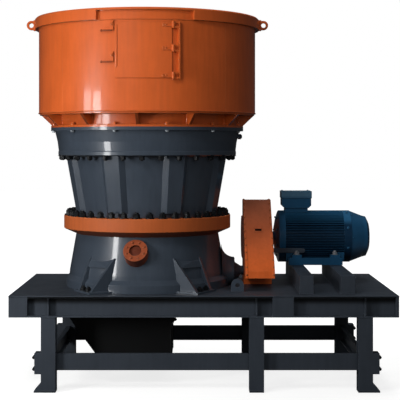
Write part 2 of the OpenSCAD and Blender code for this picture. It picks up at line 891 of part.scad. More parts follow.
// End of the tie plate, inside the rib at an offset from the axis
module tie_end(offset) {
    low_x = rib_edge(offset, foot_tie_low);
    high_x = rib_edge(offset, foot_rib_h);
    translate([0, -offset + fuse, deck_top]) rotate([90, 0, 0]) linear_extrude(2 * fuse)
        polygon([[low_x - foot_tie_t - fuse, foot_tie_low], [low_x - fuse, foot_tie_low],
                 [high_x - fuse, foot_rib_h - fuse],
                 [high_x - foot_tie_t - fuse, foot_rib_h - fuse]]);
}

// One foot, front right: two ribs, the sloping tie plate between them and the pad below
module foot() {
    tie_x = wall_along_rib((foot_inner + foot_outer) / 2);
    translate([crusher_x, 0, 0]) rotate([0, 0, -foot_deg]) {
        foot_rib(foot_inner);
        foot_rib(foot_outer);
        hull() {
            tie_end(foot_inner);
            tie_end(foot_outer);
        }
        translate([tie_x - fuse * 20, -foot_outer - foot_rib_t / 2 - foot_margin,
                   deck_top + seat])
            cube([foot_reach + foot_margin - tie_x + fuse * 20,
                  foot_outer - foot_inner + foot_rib_t + 2 * foot_margin, foot_pad_t]);
    }
}

module crusher_feet() {
    color(steel_grey) difference() {
        front_and_rear() {
            foot();
            translate([2 * crusher_x, 0, 0]) mirror([1, 0, 0]) foot();
        }
        shell_envelope();
    }
}

// Housing of the pinion shaft: spigot in the shell, flare, barrel, tapered cover and shaft
module pinion_housing() {
    flare_x = shell_foot_r - fuse * 8;
    barrel_x = flare_x + pinion_flare;
    cover_x = pinion_reach + pinion_cover_len;
    color(steel_grey) {
        translate([crusher_x + shell_bore_r, 0, pinion_z]) rotate([0, 90, 0])
            cylinder(r = pinion_spigot_r, h = pinion_reach - shell_bore_r - fuse);
        difference() {
            translate([crusher_x, 0, pinion_z]) rotate([0, 90, 0]) rotate_extrude()
                polygon(concat(
                    [[0, flare_x]],
                    [for (p = arc(pinion_r + pinion_flare, barrel_x, pinion_flare, 270, 180, 8)) p],
                    [[pinion_r, pinion_reach], [pinion_cover_r, pinion_reach],
                     [pinion_shaft_r, cover_x],
                     [pinion_shaft_r, cover_x + guard_gap], [0, cover_x + guard_gap]]
                ));
            translate([crusher_x, -shell_foot_r, deck_top - shell_h + seat])
                cube([2 * shell_foot_r, 2 * shell_foot_r, shell_h]);
            shell_envelope();
        }
    }
}

module inspection_cover() {
    depth = cover_d / 2;
    cover_reach = shell_wall_r(cover_h) + cover_out;
    color(orange) difference() {
        translate([0, 0, deck_top + cover_h]) at_bearing(cover_deg)
            translate([cover_reach, 0, 0]) rotate([0, 90 - cover_tilt, 0]) difference() {
                translate([0, 0, -depth]) cylinder(d = cover_d, h = depth);
                translate([0, 0, -cover_recess]) cylinder(d = cover_recess_d, h = 2 * cover_recess);
            }
        shell_envelope();
    }
}

module clamping_ring() {
    bevel = 8;
    color(orange) crusher_revolve([
        [ring_bore_r + seat, ring_low_z], [shell_top_r, ring_low_z],
        [ring_r - bevel, ring_face_z], [ring_r, ring_face_z + bevel],
        [ring_r, ring_top_z - bevel], [ring_r - bevel, ring_top_z],
        [ring_bore_r + seat, ring_top_z]
    ]);
}

// ---- crusher, upper part ----

// Corner of a rib of the conical body: outer radius, half width in degrees, height
function rib_corner(r, deg, z) = [r * cos(deg), r * sin(deg), z];

// Rib between two pockets, with slanting flanks, from the ring up into the collar
module cone_rib() {
    sunk = 4 * fuse;
    polyhedron(
        points = [
            rib_corner(pocket_low_r - sunk, -rib_root_deg, cone_foot_z - fuse),
            rib_corner(pocket_low_r - sunk, rib_root_deg, cone_foot_z - fuse),
            rib_corner(rib_low_r, rib_crest_deg, cone_foot_z - fuse),
            rib_corner(rib_low_r, -rib_crest_deg, cone_foot_z - fuse),
            rib_corner(pocket_top_r - sunk, -rib_root_deg, collar_low_z + fuse),
            rib_corner(pocket_top_r - sunk, rib_root_deg, collar_low_z + fuse),
            rib_corner(rib_top_r, rib_crest_deg, collar_low_z + fuse),
            rib_corner(rib_top_r, -rib_crest_deg, collar_low_z + fuse)
        ],
        faces = [[3, 2, 1, 0], [4, 5, 6, 7], [7, 6, 2, 3], [1, 5, 4, 0],
                 [2, 6, 5, 1], [4, 7, 3, 0]]
    );
}

module top_shell() {
    color(steel_grey) {
        crusher_revolve([
            [shell_liner_r, ring_low_z], [ring_bore_r, ring_low_z],
            [ring_bore_r, ring_top_z], [pocket_low_r, cone_foot_z],
            [pocket_top_r, cone_top_z],
            [0.6 * pocket_top_r + 0.4 * collar_root_r, collar_low_z - 0.4 * collar_root_h],
            [collar_root_r, collar_low_z],
            [collar_low_r - 2 * fuse, collar_low_z], [collar_low_r, collar_low_z + 2 * fuse],
            [collar_low_r, collar_low_z + 10 * fuse],
            [collar_low_r - fuse, collar_low_z + 12 * fuse],
            [collar_top_r, collar_wall_z], [collar_neck_r, collar_neck_z],
            [collar_flange_r, collar_neck_z], [collar_flange_r, collar_top_z],
            [collar_bore_r, collar_top_z], [collar_bore_r, concave_top_z + 8 * fuse],
            [concave_top_r + concave_top_t, concave_top_z], [shell_liner_r, concave_low_z]
        ]);
        for (i = [0:cone_ribs - 1])
            at_bearing((i + 0.5) * 360 / cone_ribs) cone_rib();
        translate([crusher_x + collar_neck_r - 4 * fuse, 0, collar_neck_z - fitting_d])
            rotate([0, 90, 0]) cylinder(d = fitting_d, h = 8 * fuse);
    }
}

module concave() {
    color(bright_steel) crusher_revolve([
        [shell_liner_r - seat, concave_low_z], [concave_low_r, concave_low_z],
        [concave_low_r + 2 * fuse, concave_low_z + 0.3 * concave_h],
        [concave_top_r, concave_top_z],
        [concave_top_r + concave_top_t - seat, concave_top_z]
    ]);
}

module mantle() {
    skirt_r = concave_low_r - chamber_gap;
    skirt_z = concave_low_z - mantle_skirt_h / 2;
    shaft_top_z = spider_z + socket_h - socket_gap;
    color(bright_steel) crusher_revolve([
        [0, hub_top_z + seat], [hub_r - 2 * fuse, hub_top_z + seat],
        [hub_r - 2 * fuse, skirt_z], [skirt_r, skirt_z],
        [skirt_r, skirt_z + mantle_skirt_h],
        [skirt_r - mantle_lean, skirt_z + 2.5 * mantle_skirt_h],
        [mantle_top_r, concave_top_z - head_nut_h], [head_nut_r, concave_top_z],
        [shaft_r, concave_top_z + head_nut_h / 3], [shaft_r, shaft_top_z], [0, shaft_top_z]
    ]);
}

// Arm of the spider, from its hub to the collar's bore
module spider_arm() {
    root = spider_hub_r - spider_taper;
    translate([0, spider_arm_w / 2, 0]) rotate([90, 0, 0]) linear_extrude(spider_arm_w)
        polygon([[root, spider_z + 0.1 * spider_h],
                 [0.6 * collar_bore_r, spider_z + 0.42 * spider_h],
                 [collar_bore_r, spider_z + 0.28 * spider_h],
                 [collar_bore_r, collar_top_z - 0.1 * spider_h],
                 [0.75 * collar_bore_r, spider_top_z], [root, spider_top_z]]);
}

module spider() {
    socket_z = spider_z + socket_h;
    color(dark_grey) {
        crusher_revolve([
            [shaft_r + seat, spider_z], [spider_hub_r - spider_taper, spider_z],
            [spider_hub_r, spider_z + 1.3 * spider_taper], [spider_hub_r, spider_top_z],
            [0, spider_top_z], [0, socket_z], [shaft_r + seat, socket_z]
        ]);
        intersection() {
            for (s = [-1, 1])
                translate([crusher_x, 0, 0]) rotate([0, 0, s * 90]) spider_arm();
            translate([crusher_x, 0, spider_z])
                cylinder(r = collar_bore_r - seat, h = spider_h + fuse);
        }
    }
}

module spider_cap() {
    cap_r = spider_hub_r + spider_cap_over;
    color(dark_grey) crusher_revolve([
        [0, spider_top_z], [cap_r, spider_top_z], [cap_r, spider_top_z + spider_cap_h / 3],
        [cap_r - spider_cap_slope, spider_top_z + 0.8 * spider_cap_h], [0, spider_top_z + spider_cap_h]
    ]);
}

// ---- hopper ----

// Ring plates, wall and gussets that carry the hopper on the top shell
module hopper_base() {
    low_plate_z = collar_top_z + hopper_base_t;
    high_plate_z = hopper_z - hopper_base_t;
    plate_r = hopper_r - hopper_base_in;
    color(orange) {
        crusher_revolve([
            [collar_bore_r, collar_top_z], [collar_flange_r, collar_top_z],
            [collar_flange_r, low_plate_z], [base_wall_r, low_plate_z],
            [base_wall_r, high_plate_z], [plate_r, high_plate_z],
            [plate_r, hopper_z], [base_wall_r - base_wall_t, hopper_z],
            [collar_bore_r, low_plate_z]
        ]);
        for (i = [0:hopper_gussets - 1])
            at_bearing(-3 + i * 360 / hopper_gussets)
                translate([0, hopper_gusset_t / 2, 0]) rotate([90, 0, 0])
                    linear_extrude(hopper_gusset_t) polygon([
                        [base_wall_r - fuse, low_plate_z - fuse],
                        [collar_flange_r - fuse, low_plate_z - fuse],
                        [collar_flange_r - fuse, low_plate_z],
                        [plate_r - fuse, high_plate_z], [plate_r - fuse, high_plate_z + fuse],
                        [base_wall_r - fuse, high_plate_z + fuse]
                    ]);
    }
}

module hopper_quarter(from_deg, to_deg) {
    wall_arc(hopper_r - hopper_t, hopper_r, hopper_z, top_z, from_deg, to_deg);
}

module hopper_wall_front() {
    color(orange) difference() {
        hopper_quarter(-45, 45);
        wall_arc(hopper_r - 5 * hopper_t, hopper_r + 5 * hopper_t, hatch_low_z + hatch_lap,
                 hatch_top_z - hatch_lap, hatch_left_deg + lap_deg, hatch_right_deg - lap_deg);
    }
}

module hopper_wall_right() {
    color(orange) hopper_quarter(45, 135);
}

module hopper_wall_rear() {
    color(orange) hopper_quarter(135, 225);
}

module hopper_wall_left() {
    color(orange) hopper_quarter(225, 315);
}

// Band round the top of the hopper, open above the hatch, with a closed edge on top
module hopper_rim() {
    edge_z = top_z - rim_edge_h;
    color(orange) {
        crusher_revolve([
            [hopper_r + seat, edge_z], [rim_r, edge_z], [rim_r, top_z - rim_bevel],
            [rim_r - rim_bevel, top_z], [hopper_r + seat, top_z]
        ]);
        wall_arc(hopper_r + 2 * seat, rim_r - seat, rim_z, edge_z + fuse,
                 rim_gap_right, full_turn + rim_gap_left);
    }
}

module lifting_eyes() {
    eye_z = rim_z + rim_h / 2;
    foot_h = 2 * eye_r + 4 * fuse;
    color(orange) for (s = [-1, 1])
        translate([crusher_x, 0, 0]) mirror([s < 0 ? 1 : 0, 0, 0])
            intersection() {
                along_y(-eye_t / 2, eye_t) difference() {
                    union() {
                        translate([rim_r - 2 * fuse, eye_z - foot_h / 2])
                            square([eye_r / 2 + 2 * fuse, foot_h]);
                        translate([rim_r, eye_z - eye_r]) square([eye_r, 2 * eye_r]);
                        translate([rim_r + eye_r, eye_z]) circle(r = eye_r);
                    }
                    translate([rim_r + eye_r, eye_z]) circle(d = eye_hole_d);
                }
                rotate_extrude() translate([rim_r, rim_z]) square([3 * eye_r, rim_h]);
            }
}

// ---- hatch ----

// Moving leaf: the middle barrel of one hinge with its strap on the hatch
module moving_leaf(level) {
    strap_r = hatch_r + hatch_t - 2;
    translate([0, 0, level - barrel_half]) {
        translate([hinge_x, hinge_y, 0]) difference() {
            cylinder(d = hinge_barrel_d, h = hinge_barrel_len);
            translate([0, 0, -1]) cylinder(d = hinge_pin_d + 2 * seat, h = hinge_barrel_len + 2);
        }
        wall_arc(strap_r, hinge_r - hinge_barrel_d / 2 + 6, 0, hinge_barrel_len,
                 hinge_deg - 1.5 * leaf_deg, hinge_deg);
    }
}

module hatch() {
    color(orange) {
        wall_arc(hatch_r, hatch_r + hatch_t, hatch_low_z, hatch_top_z,
                 hatch_left_deg, hatch_right_deg);
        for (level = hinge_levels) moving_leaf(level);
    }
}

// Fixed part of one hinge: pin, outer barrels and their leaves
module fixed_hinge(level) {
    low = level - barrel_half - barrel_gap - barrel_half;
    high = level + barrel_half + barrel_gap;
    translate([hinge_x, hinge_y, low]) cylinder(d = hinge_pin_d, h = high - low + barrel_half);
    for (z = [low, high]) {
        translate([hinge_x, hinge_y, z]) cylinder(d = hinge_barrel_d, h = barrel_half);
        wall_arc(hinge_r - leaf_t / 2, hinge_r + leaf_t / 2, z, z + barrel_half,
                 hinge_deg, hinge_deg + leaf_deg);
    }
}

// The three hinges on the upright post that is welded to the hopper's wall
module hatch_hinges() {
    post_low = hinge_levels[0] - hinge_barrel_len - barrel_gap;
    post_high = hinge_levels[2] + hinge_barrel_len + barrel_gap;
    color(orange) {
        for (level = hinge_levels) fixed_hinge(level);
        wall_arc(hopper_r, hinge_r + leaf_t / 2, post_low, post_high,
                 hinge_deg + leaf_deg - post_deg, hinge_deg + leaf_deg);
    }
}

// Swing clamps on the wall beside the hatch's free edge, with their handles to the left
module hatch_clamps() {
    clamp_deg = hatch_left_deg - 0.4;
    clamp_r = hatch_r + hatch_t + 12;
    bar_deg = atan(clamp_t / hopper_r);
    color(orange) for (level = clamp_levels) {
        wall_arc(hopper_r, clamp_r, level, level + clamp_h, clamp_deg - bar_deg, clamp_deg);
        wall_arc(hatch_r, clamp_r - hatch_gap, level + 2, level + clamp_t,
                 clamp_deg - 3.4 * bar_deg, clamp_deg - bar_deg / 2);
    }
}

// ---- belt guard ----

module belt_guard() {
    guard_top = deck_top + guard_h;
    lip_z = deck_top + guard_lip_h;
    slope_z = deck_top + guard_slope_h;
    color(orange) along_x(guard_x, guard_w) polygon(concat(
        [[guard_plinth - guard_front, deck_top], [guard_plinth - guard_front, lip_z],
         [-guard_front, lip_z], [-guard_front, slope_z],
         [guard_top_y, guard_top], [guard_rear, guard_top],
         [guard_rear, motor_z + guard_pulley_r]],
        arc(motor_y, motor_z, guard_pulley_r, 90, -90, 36),
        [[guard_rear, motor_z - guard_pulley_r], [guard_rear, deck_top]]
    ));
}

// ---- motor ----

// Finned frame with the plain ring at its fan end
module motor_frame() {
    color(motor_blue) {
        translate([frame_x, motor_y, motor_z]) rotate([0, 90, 0])
            linear_extrude(frame_len) {
                circle(r = core_r);
                for (i = [0:fin_count - 1])
                    rotate(i * 360 / fin_count) translate([core_r - fuse, -fin_t / 2])
                        square([fin_h + fuse, fin_t]);
            }
        motor_revolve([[0, end_ring_x], [motor_r, end_ring_x],
                       [motor_r, cowl_x], [0, cowl_x]]);
    }
}

module drive_end_shield() {
    color(motor_blue) motor_revolve([
        [0, guard_right], [motor_shaft_r, guard_right], [motor_shaft_r, motor_x],
        [2 * motor_shaft_r, motor_x], [0.66 * motor_r, motor_x + 0.15 * shield_len],
        [0.86 * motor_r, motor_x + 0.29 * shield_len],
        [motor_r - shield_step, frame_x - shield_band - shield_step],
        [motor_r, frame_x - shield_band], [motor_r, frame_x], [0, frame_x]
    ]);
}

module fan_cowl() {
    color(motor_blue) motor_revolve([
        [0, cowl_x], [motor_r - cowl_in, cowl_x], [motor_r - 2 * cowl_in, cowl_x + 0.08 * cowl_len],
        [cowl_rear_r + 2 * cowl_in, motor_end - 0.32 * cowl_len],
        [cowl_rear_r, motor_end - cowl_round / 2],
        [cowl_rear_r - cowl_round, motor_end], [0, motor_end]
    ]);
}

// Terminal box: neck on the frame, chamfered body and lid
module terminal_box() {
    mid_x = frame_x + box_in;
    neck_z = motor_z + core_r;
    chamfer_z = motor_z + motor_r + box_neck_h;
    body_z = chamfer_z + box_chamfer_h;
    lid_z = body_z + box_h;
    neck_len = box_len - 2 * box_chamfer_h;
    color(motor_blue) {
        along_y(motor_y - box_wid / 2, box_wid) polygon([
            [mid_x - neck_len / 2, chamfer_z], [mid_x - box_len / 2, body_z],
            [mid_x - box_len / 2, lid_z], [mid_x + box_len / 2, lid_z],
            [mid_x + box_len / 2, body_z], [mid_x + neck_len / 2, chamfer_z]
        ]);
        translate([mid_x - box_len / 2 - box_lid_over, motor_y - box_wid / 2 - box_lid_over, lid_z])
            cube([box_len + 2 * box_lid_over, box_wid + 2 * box_lid_over, box_lid_h]);
        difference() {
            translate([mid_x - neck_len / 2 + 2 * fuse, motor_y - box_wid / 2 + box_neck_in, neck_z])
                cube([neck_len - 4 * fuse, box_wid - 2 * box_neck_in, chamfer_z - neck_z + fuse]);
            translate([motor_x, motor_y, motor_z]) rotate([0, 90, 0])
                cylinder(r = motor_r + seat, h = shield_len + frame_len);
        }
    }
}

// Foot bars under the motor, each with two bolt pads and the webs up to the frame
module motor_feet() {
    bar_x = stand_left_x - foot_boss_len / 2 - foot_bar_over - fuse * 3;
    bar_end = stand_right_x + foot_boss_len / 2 + foot_bar_over;
    color(motor_blue) for (s = [-1, 1])
        translate([0, motor_y, motor_foot_z]) mirror([0, s < 0 ? 1 : 0, 0]) difference() {
            union() {
                translate([bar_x, foot_bar_y, 0])
                    cube([bar_end - bar_x, foot_bar_w, foot_bar_h]);
                for (x = [stand_left_x, stand_right_x])
                    translate([x - foot_boss_len / 2, foot_bar_y, 0])
                        cube([foot_boss_len, foot_bar_w, foot_bar_h + foot_boss_h]);
                for (x = [frame_x + fuse, end_ring_x - foot_boss_len - fuse])
                    translate([x, foot_web_y - 3 * foot_boss_h, foot_bar_h / 2])
                        cube([foot_boss_len, foot_boss_h * 3, foot_web_h - foot_bar_h / 2]);
            }
            translate([frame_x - fuse, 0, motor_h]) rotate([0, 90, 0])
                cylinder(r = motor_r + seat, h = frame_len + end_ring_len + 2 * fuse);
        }
}

// ---- motor stand ----

module stand_beams() {
    front_y = stand_setback - deck_wid / 2;
    rear_y = motor_y + foot_bar_y + foot_bar_w + foot_bar_over;
    color(steel_grey) for (x = [stand_left_x, stand_right_x])
        translate([x - stand_w / 2, front_y, deck_top])
            cube([stand_w, rear_y - front_y, stand_h]);
}

front_beam();
rear_beam();
cross_beam_left();
cross_beam_mid();
end_plate_right();
crusher_beams();
deck_plates();
lifting_lugs();
leg_front_left();
leg_front_mid();
leg_front_right();
leg_rear_left();
leg_rear_mid();
leg_rear_right();
side_rails();
end_rails();
discharge_chute();
adjustment_cylinder();
bottom_shell();
crusher_feet();
pinion_housing();
inspection_cover();
clamping_ring();
top_shell();
concave();
mantle();
spider();
spider_cap();
hopper_base();
hopper_wall_front();
hopper_wall_left();
hopper_wall_rear();
hopper_wall_right();
hopper_rim();
lifting_eyes();
hatch();
hatch_hinges();
hatch_clamps();
belt_guard();
motor_frame();
drive_end_shield();
fan_cowl();
terminal_box();
motor_feet();
stand_beams();
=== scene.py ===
"""Cone crusher on a steel platform: paint, fasteners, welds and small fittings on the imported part.

Lengths are in metres in the part's own frame: +Z up, front is -Y, the platform along X.
"""
import json
import math

import bmesh
import bpy
from mathutils import Matrix, Vector


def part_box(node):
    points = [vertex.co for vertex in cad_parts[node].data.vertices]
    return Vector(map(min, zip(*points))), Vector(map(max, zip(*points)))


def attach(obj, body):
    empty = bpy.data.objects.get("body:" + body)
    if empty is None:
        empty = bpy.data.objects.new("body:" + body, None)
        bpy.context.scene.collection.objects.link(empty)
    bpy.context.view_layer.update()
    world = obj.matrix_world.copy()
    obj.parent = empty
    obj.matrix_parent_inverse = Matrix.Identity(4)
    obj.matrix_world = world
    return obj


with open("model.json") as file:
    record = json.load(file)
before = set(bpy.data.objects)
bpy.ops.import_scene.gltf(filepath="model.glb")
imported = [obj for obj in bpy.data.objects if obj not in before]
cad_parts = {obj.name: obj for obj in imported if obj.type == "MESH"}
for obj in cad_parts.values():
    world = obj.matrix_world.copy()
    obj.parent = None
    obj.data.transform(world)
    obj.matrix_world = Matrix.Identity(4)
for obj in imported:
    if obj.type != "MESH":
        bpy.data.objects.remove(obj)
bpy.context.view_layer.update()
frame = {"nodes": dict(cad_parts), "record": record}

MM = 0.001


def mm(*values):
    """Turns millimetres to metres."""
    return [value * MM for value in values]


def shift(x, y, z):
    """Place that is moved from the frame's origin."""
    return Matrix.Translation((x, y, z))


def turn(degrees, axis):
    """Rotation about one of the frame's axes."""
    return Matrix.Rotation(math.radians(degrees), 4, axis)


def shares(count, first=0.0):
    """Angles that divide a full turn evenly."""
    return [first + i * 360 / count for i in range(count)]


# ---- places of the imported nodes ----

RING_LOW, RING_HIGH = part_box("clamping_ring")
AXIS_X = (RING_LOW.x + RING_HIGH.x) / 2
RING_R = (RING_HIGH.x - RING_LOW.x) / 2
BASE_LOW, BASE_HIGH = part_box("hopper_base")
COLLAR_TOP = BASE_LOW.z
HOPPER_Z = BASE_HIGH.z
RIM_LOW, RIM_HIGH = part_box("hopper_rim")
RIM_WIDER = 50 * MM
HOPPER_R = (RIM_HIGH.x - RIM_LOW.x) / 2 - RIM_WIDER
DECK_LOW, DECK_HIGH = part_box("deck_plates")
DECK_TOP = DECK_HIGH.z
GUARD_LOW, GUARD_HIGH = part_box("belt_guard")
FRAME_LOW, FRAME_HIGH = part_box("motor_frame")
MOTOR_Y = (FRAME_LOW.y + FRAME_HIGH.y) / 2
MOTOR_Z = (FRAME_LOW.z + FRAME_HIGH.z) / 2
MOTOR_R = (FRAME_HIGH.y - FRAME_LOW.y) / 2
COWL_LOW, COWL_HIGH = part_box("fan_cowl")
BOX_LOW, BOX_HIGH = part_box("terminal_box")
STAND_LOW, STAND_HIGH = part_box("stand_beams")
CAP_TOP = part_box("spider_cap")[1].z
CHUTE_LOW, CHUTE_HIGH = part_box("discharge_chute")
HATCH_LOW, HATCH_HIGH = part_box("hatch")

# ---- shader helpers ----


def linear(code):
    """Turns an sRGB hex value to the linear colour that the shaders take."""
    parts = [int(code[i:i + 2], 16) / 255 for i in (1, 3, 5)]
    return [c / 12.92 if c <= 0.04045 else ((c + 0.055) / 1.055) ** 2.4 for c in parts] + [1.0]


def add(tree, kind, sockets=None, **settings):
    """Adds a node: settings are its own properties, sockets are values or the outputs to link."""
    node = tree.nodes.new("ShaderNode" + kind)
    for key, value in settings.items():
        setattr(node, key, value)
    for socket, value in (sockets or {}).items():
        if isinstance(value, bpy.types.NodeSocket):
            tree.links.new(value, node.inputs[socket])
        else:
            node.inputs[socket].default_value = value
    return node


def noise(tree, place, width, detail, roughness=0.5):
    """Cloudy pattern, about as wide as given."""
    return add(tree, "TexNoise", {"Vector": place, "Scale": 1 / width, "Detail": detail,
                                  "Roughness": roughness}).outputs["Fac"]


def mapped(tree, value, old, new=(0.0, 1.0)):
    """Takes a value from its old range to a new one."""
    return add(tree, "MapRange", {"Value": value, "From Min": old[0], "From Max": old[1],
                                  "To Min": new[0], "To Max": new[1]}).outputs["Result"]


def blended(tree, share, first, second):
    """Turns the first colour to the second, by a share from 0 to 1."""
    return add(tree, "Mix", {"Factor": share, 6: first, 7: second}, data_type="RGBA").outputs[2]


def scaled(tree, colour, factor):
    """Makes a colour lighter or darker."""
    return add(tree, "VectorMath", {0: colour, "Scale": factor},
               operation="SCALE").outputs["Vector"]


def combined(tree, operation, first, second):
    """Adds or multiplies two values."""
    return add(tree, "Math", {0: first, 1: second}, operation=operation).outputs["Value"]


def new_material(name):
    """Makes an empty node material and returns it with its tree and output node."""
    material = bpy.data.materials.new(name)
    material.use_nodes = True
    tree = material.node_tree
    tree.nodes.clear()
    return material, tree, add(tree, "OutputMaterial")


# ---- materials ----

# Patterns in the paint: patches of thicker coat, specks of dust, and streaks drawn by rain
PATCH_WIDE, SPECK_WIDE, STREAK_WIDE = mm(300, 12, 40)
STREAK_STRETCH = (1.0, 1.0, 0.1)
# The range of one pattern and of two added up, and how far they darken and lighten the paint
PATTERN = (0.3, 0.7)
PATTERN_SUM = (0.7, 1.3)
TONES = (0.91, 1.09)
# Painted shade on faces that look down: their brightness, and how steeply they look down
PAINTED_SHADE_BELOW = (1.0, 0.35)
LOOKS_DOWN = (-0.35, -0.75)
# Paler edges, partly wear and partly painted highlight: its share, the width of an edge, and how far
# the normal turns there
EDGE_WEAR_AND_SHEEN = (0.0, 0.55)
EDGE_WIDE = 6 * MM
EDGE_TURN = (0.985, 0.86)
# How steeply a face looks up when dust stays on it
LOOKS_UP = (0.55, 1.0)


def painted(name, colour, *, dust, edge, roughness, coat, grain, depth, lies=0.2, fades=None):
    """Paint on metal: mottled colour, grain in relief, edges paled by rubbing and as painted
    highlight, painted shade on faces that look down, and settled dust.

    colour, dust and edge are hex values; grain and depth are the width and height of the
    surface's grain in millimetres, and lies is the share of dust on faces that look up. fades
    is a second colour with the heights between which the paint turns to it.
    """
    material, tree, output = new_material(name)
    place = add(tree, "TexCoord").outputs["Object"]
    normal = add(tree, "NewGeometry").outputs["Normal"]
    patches = noise(tree, place, PATCH_WIDE, detail=4.0, roughness=0.6)
    specks = noise(tree, place, SPECK_WIDE, detail=5.0, roughness=0.7)
    stretched = add(tree, "VectorMath", {0: place, 1: STREAK_STRETCH}, operation="MULTIPLY")
    streaks = noise(tree, stretched.outputs["Vector"], STREAK_WIDE, detail=3.0)
    paint = linear(colour)[:3]
    if fades:
        other, low, high = fades
        height = add(tree, "SeparateXYZ", {"Vector": place}).outputs["Z"]
        paint = blended(tree, mapped(tree, height, (low, high)), linear(colour), linear(other))
    mottle = mapped(tree, combined(tree, "ADD", patches, streaks), PATTERN_SUM, TONES)
    up = add(tree, "SeparateXYZ", {"Vector": normal}).outputs["Z"]
    # painted shade: faces that look down are darkened
    paint_with_shade_below = scaled(tree, scaled(tree, paint, mottle), mapped(tree, up, LOOKS_DOWN, PAINTED_SHADE_BELOW))
    # an edge is where a rounded normal leaves the flat one; it is paler, for wear and as painted
    # highlight
    rounded = add(tree, "Bevel", {"Radius": EDGE_WIDE}, samples=4).outputs["Normal"]
    along = add(tree, "VectorMath", {0: rounded, 1: normal}, operation="DOT_PRODUCT")
    wear_and_sheen = mapped(tree, along.outputs["Value"], EDGE_TURN, EDGE_WEAR_AND_SHEEN)
    worn_and_sheened = blended(tree, wear_and_sheen, paint_with_shade_below, linear(edge))
    lying = combined(tree, "MULTIPLY", mapped(tree, up, LOOKS_UP, (0.0, lies)), specks)
    # the shine varies with the coat, and dust dulls it
    shine = mapped(tree, patches, PATTERN, (roughness - 0.04, roughness + 0.06))
    skin = noise(tree, place, grain * MM, detail=3.0, roughness=0.65)
    relief = add(tree, "Bump", {"Height": skin, "Distance": depth * MM, "Strength": 1.0,
                                "Normal": rounded})
    shader = add(tree, "BsdfPrincipled", {
        "Base Color": blended(tree, lying, worn_and_sheened, linear(dust)),
        "Roughness": combined(tree, "ADD", shine, lying), "Normal": relief.outputs["Normal"],
        "Coat Weight": coat, "Coat Roughness": 0.08, "Specular IOR Level": 0.4})
    tree.links.new(shader.outputs["BSDF"], output.inputs["Surface"])
    return material


# Stains on bare metal: their width, and where in the pattern they begin and are full
STAIN_WIDE = 80 * MM
STAINED = (0.35, 0.7)


def bare_metal(name, colour, *, stain, roughness, grain, depth, metallic):
    """Bare or plated metal: a stained colour and a grain that breaks up the shine."""
    material, tree, output = new_material(name)
    place = add(tree, "TexCoord").outputs["Object"]
    stains = noise(tree, place, STAIN_WIDE, detail=6.0, roughness=0.65)
    stained = mapped(tree, stains, STAINED)
    skin = noise(tree, place, grain * MM, detail=4.0)
    relief = add(tree, "Bump", {"Height": skin, "Distance": depth * MM, "Strength": 1.0})
    shader = add(tree, "BsdfPrincipled", {
        "Base Color": blended(tree, stained, linear(colour), linear(stain)),
        "Roughness": mapped(tree, stains, PATTERN, (roughness - 0.08, roughness + 0.1)),
        "Normal": relief.outputs["Normal"], "Metallic": metallic})
    tree.links.new(shader.outputs["BSDF"], output.inputs["Surface"])
    return material


# Two-pack enamel sprayed on rolled plate: a smooth, deep orange with a sharp shine.
ORANGE = painted("orange_enamel_on_plate", "#c65a25", dust="#b98a6a", edge="#d9814f",
                 roughness=0.36, coat=0.45, grain=9, depth=0.05)
# The same enamel on machined castings, browner, duller and with a little more grain.
ORANGE_CAST = painted("orange_enamel_on_casting", "#ae5628", dust="#a8795a", edge="#d08a5c",
                      roughness=0.62, coat=0.0, grain=14, depth=0.12)
# The hopper's base, painted darker than the hopper as painted shade in the pockets between its
# gussets, with browner dust.
ORANGE_BASE = painted("orange_enamel_darkened_as_painted_shade", "#b8521f", dust="#8a6650", edge="#cf7846",
                      roughness=0.36, coat=0.45, grain=9, depth=0.05)
# The belt guard, bright at its foot and painted darker towards the top as painted shade under the
# hopper.
ORANGE_GUARD = painted("orange_enamel_with_painted_shade_at_the_top", "#d5622a", dust="#8c6450",
                       edge="#e08a56", roughness=0.42, coat=0.3, grain=9, depth=0.05,
                       fades=("#a05a40", 1.45, 2.24))
# Darker enamel of the cover and the clamp levers: duller and redder, with dust held on it.
ORANGE_DULL = painted("dull_dark_orange_enamel", "#8f4527", dust="#7a5b4c", edge="#c07a58",
                      roughness=0.55, coat=0.1, grain=12, depth=0.2, lies=0.5)
# Enamel painted dark as painted shade in the cover's dish, on the plug there.
ORANGE_DARK = painted("orange_enamel_darkened_as_painted_shade_in_the_dish", "#5f2c1c", dust="#4c3a32", edge="#8f5236",
                      roughness=0.5, coat=0.2, grain=12, depth=0.2, lies=0.3)
# Grey enamel over sand castings: blue-grey, glossy, with the pimpled skin of the mould.
GREY_CAST = painted("grey_enamel_on_sand_casting", "#39414b", dust="#54565a", edge="#606a76",
                    roughness=0.34, coat=0.6, grain=16, depth=0.25)
# Semi-gloss grey on rolled sections and plate, flatter than on the castings.
GREY_PLATE = painted("grey_enamel_on_rolled_steel", "#363c44", dust="#474a4e", edge="#565e68",
                     roughness=0.46, coat=0.15, grain=7, depth=0.06, lies=0.1)
# The long beams, painted dark at the top of their web as painted shadow under the edge of the deck.
GREY_BEAM = painted("grey_enamel_with_painted_shadow_under_the_deck", "#363c44", dust="#474a4e",
                    edge="#565e68", roughness=0.46, coat=0.15, grain=7, depth=0.06, lies=0.1,
                    fades=("#0d1013", 1.045, 1.09))
# Dark primer on castings inside the hopper, matt and rough.
DARK_CAST = painted("dark_primer_on_casting", "#2a2e33", dust="#5a5956", edge="#4c5157",
                    roughness=0.6, coat=0.0, grain=16, depth=0.35, lies=0.4)
# Near-black colour on the chute's plate, which swallows most of the light; also painted shade in the
# guard's slot and behind the fan grille.
BLACK_AND_PAINTED_SHADE = painted("near_black_on_plate_and_painted_shade", "#08090a", dust="#161718", edge="#1c1e21",
                      roughness=0.6, coat=0.0, grain=8, depth=0.08)
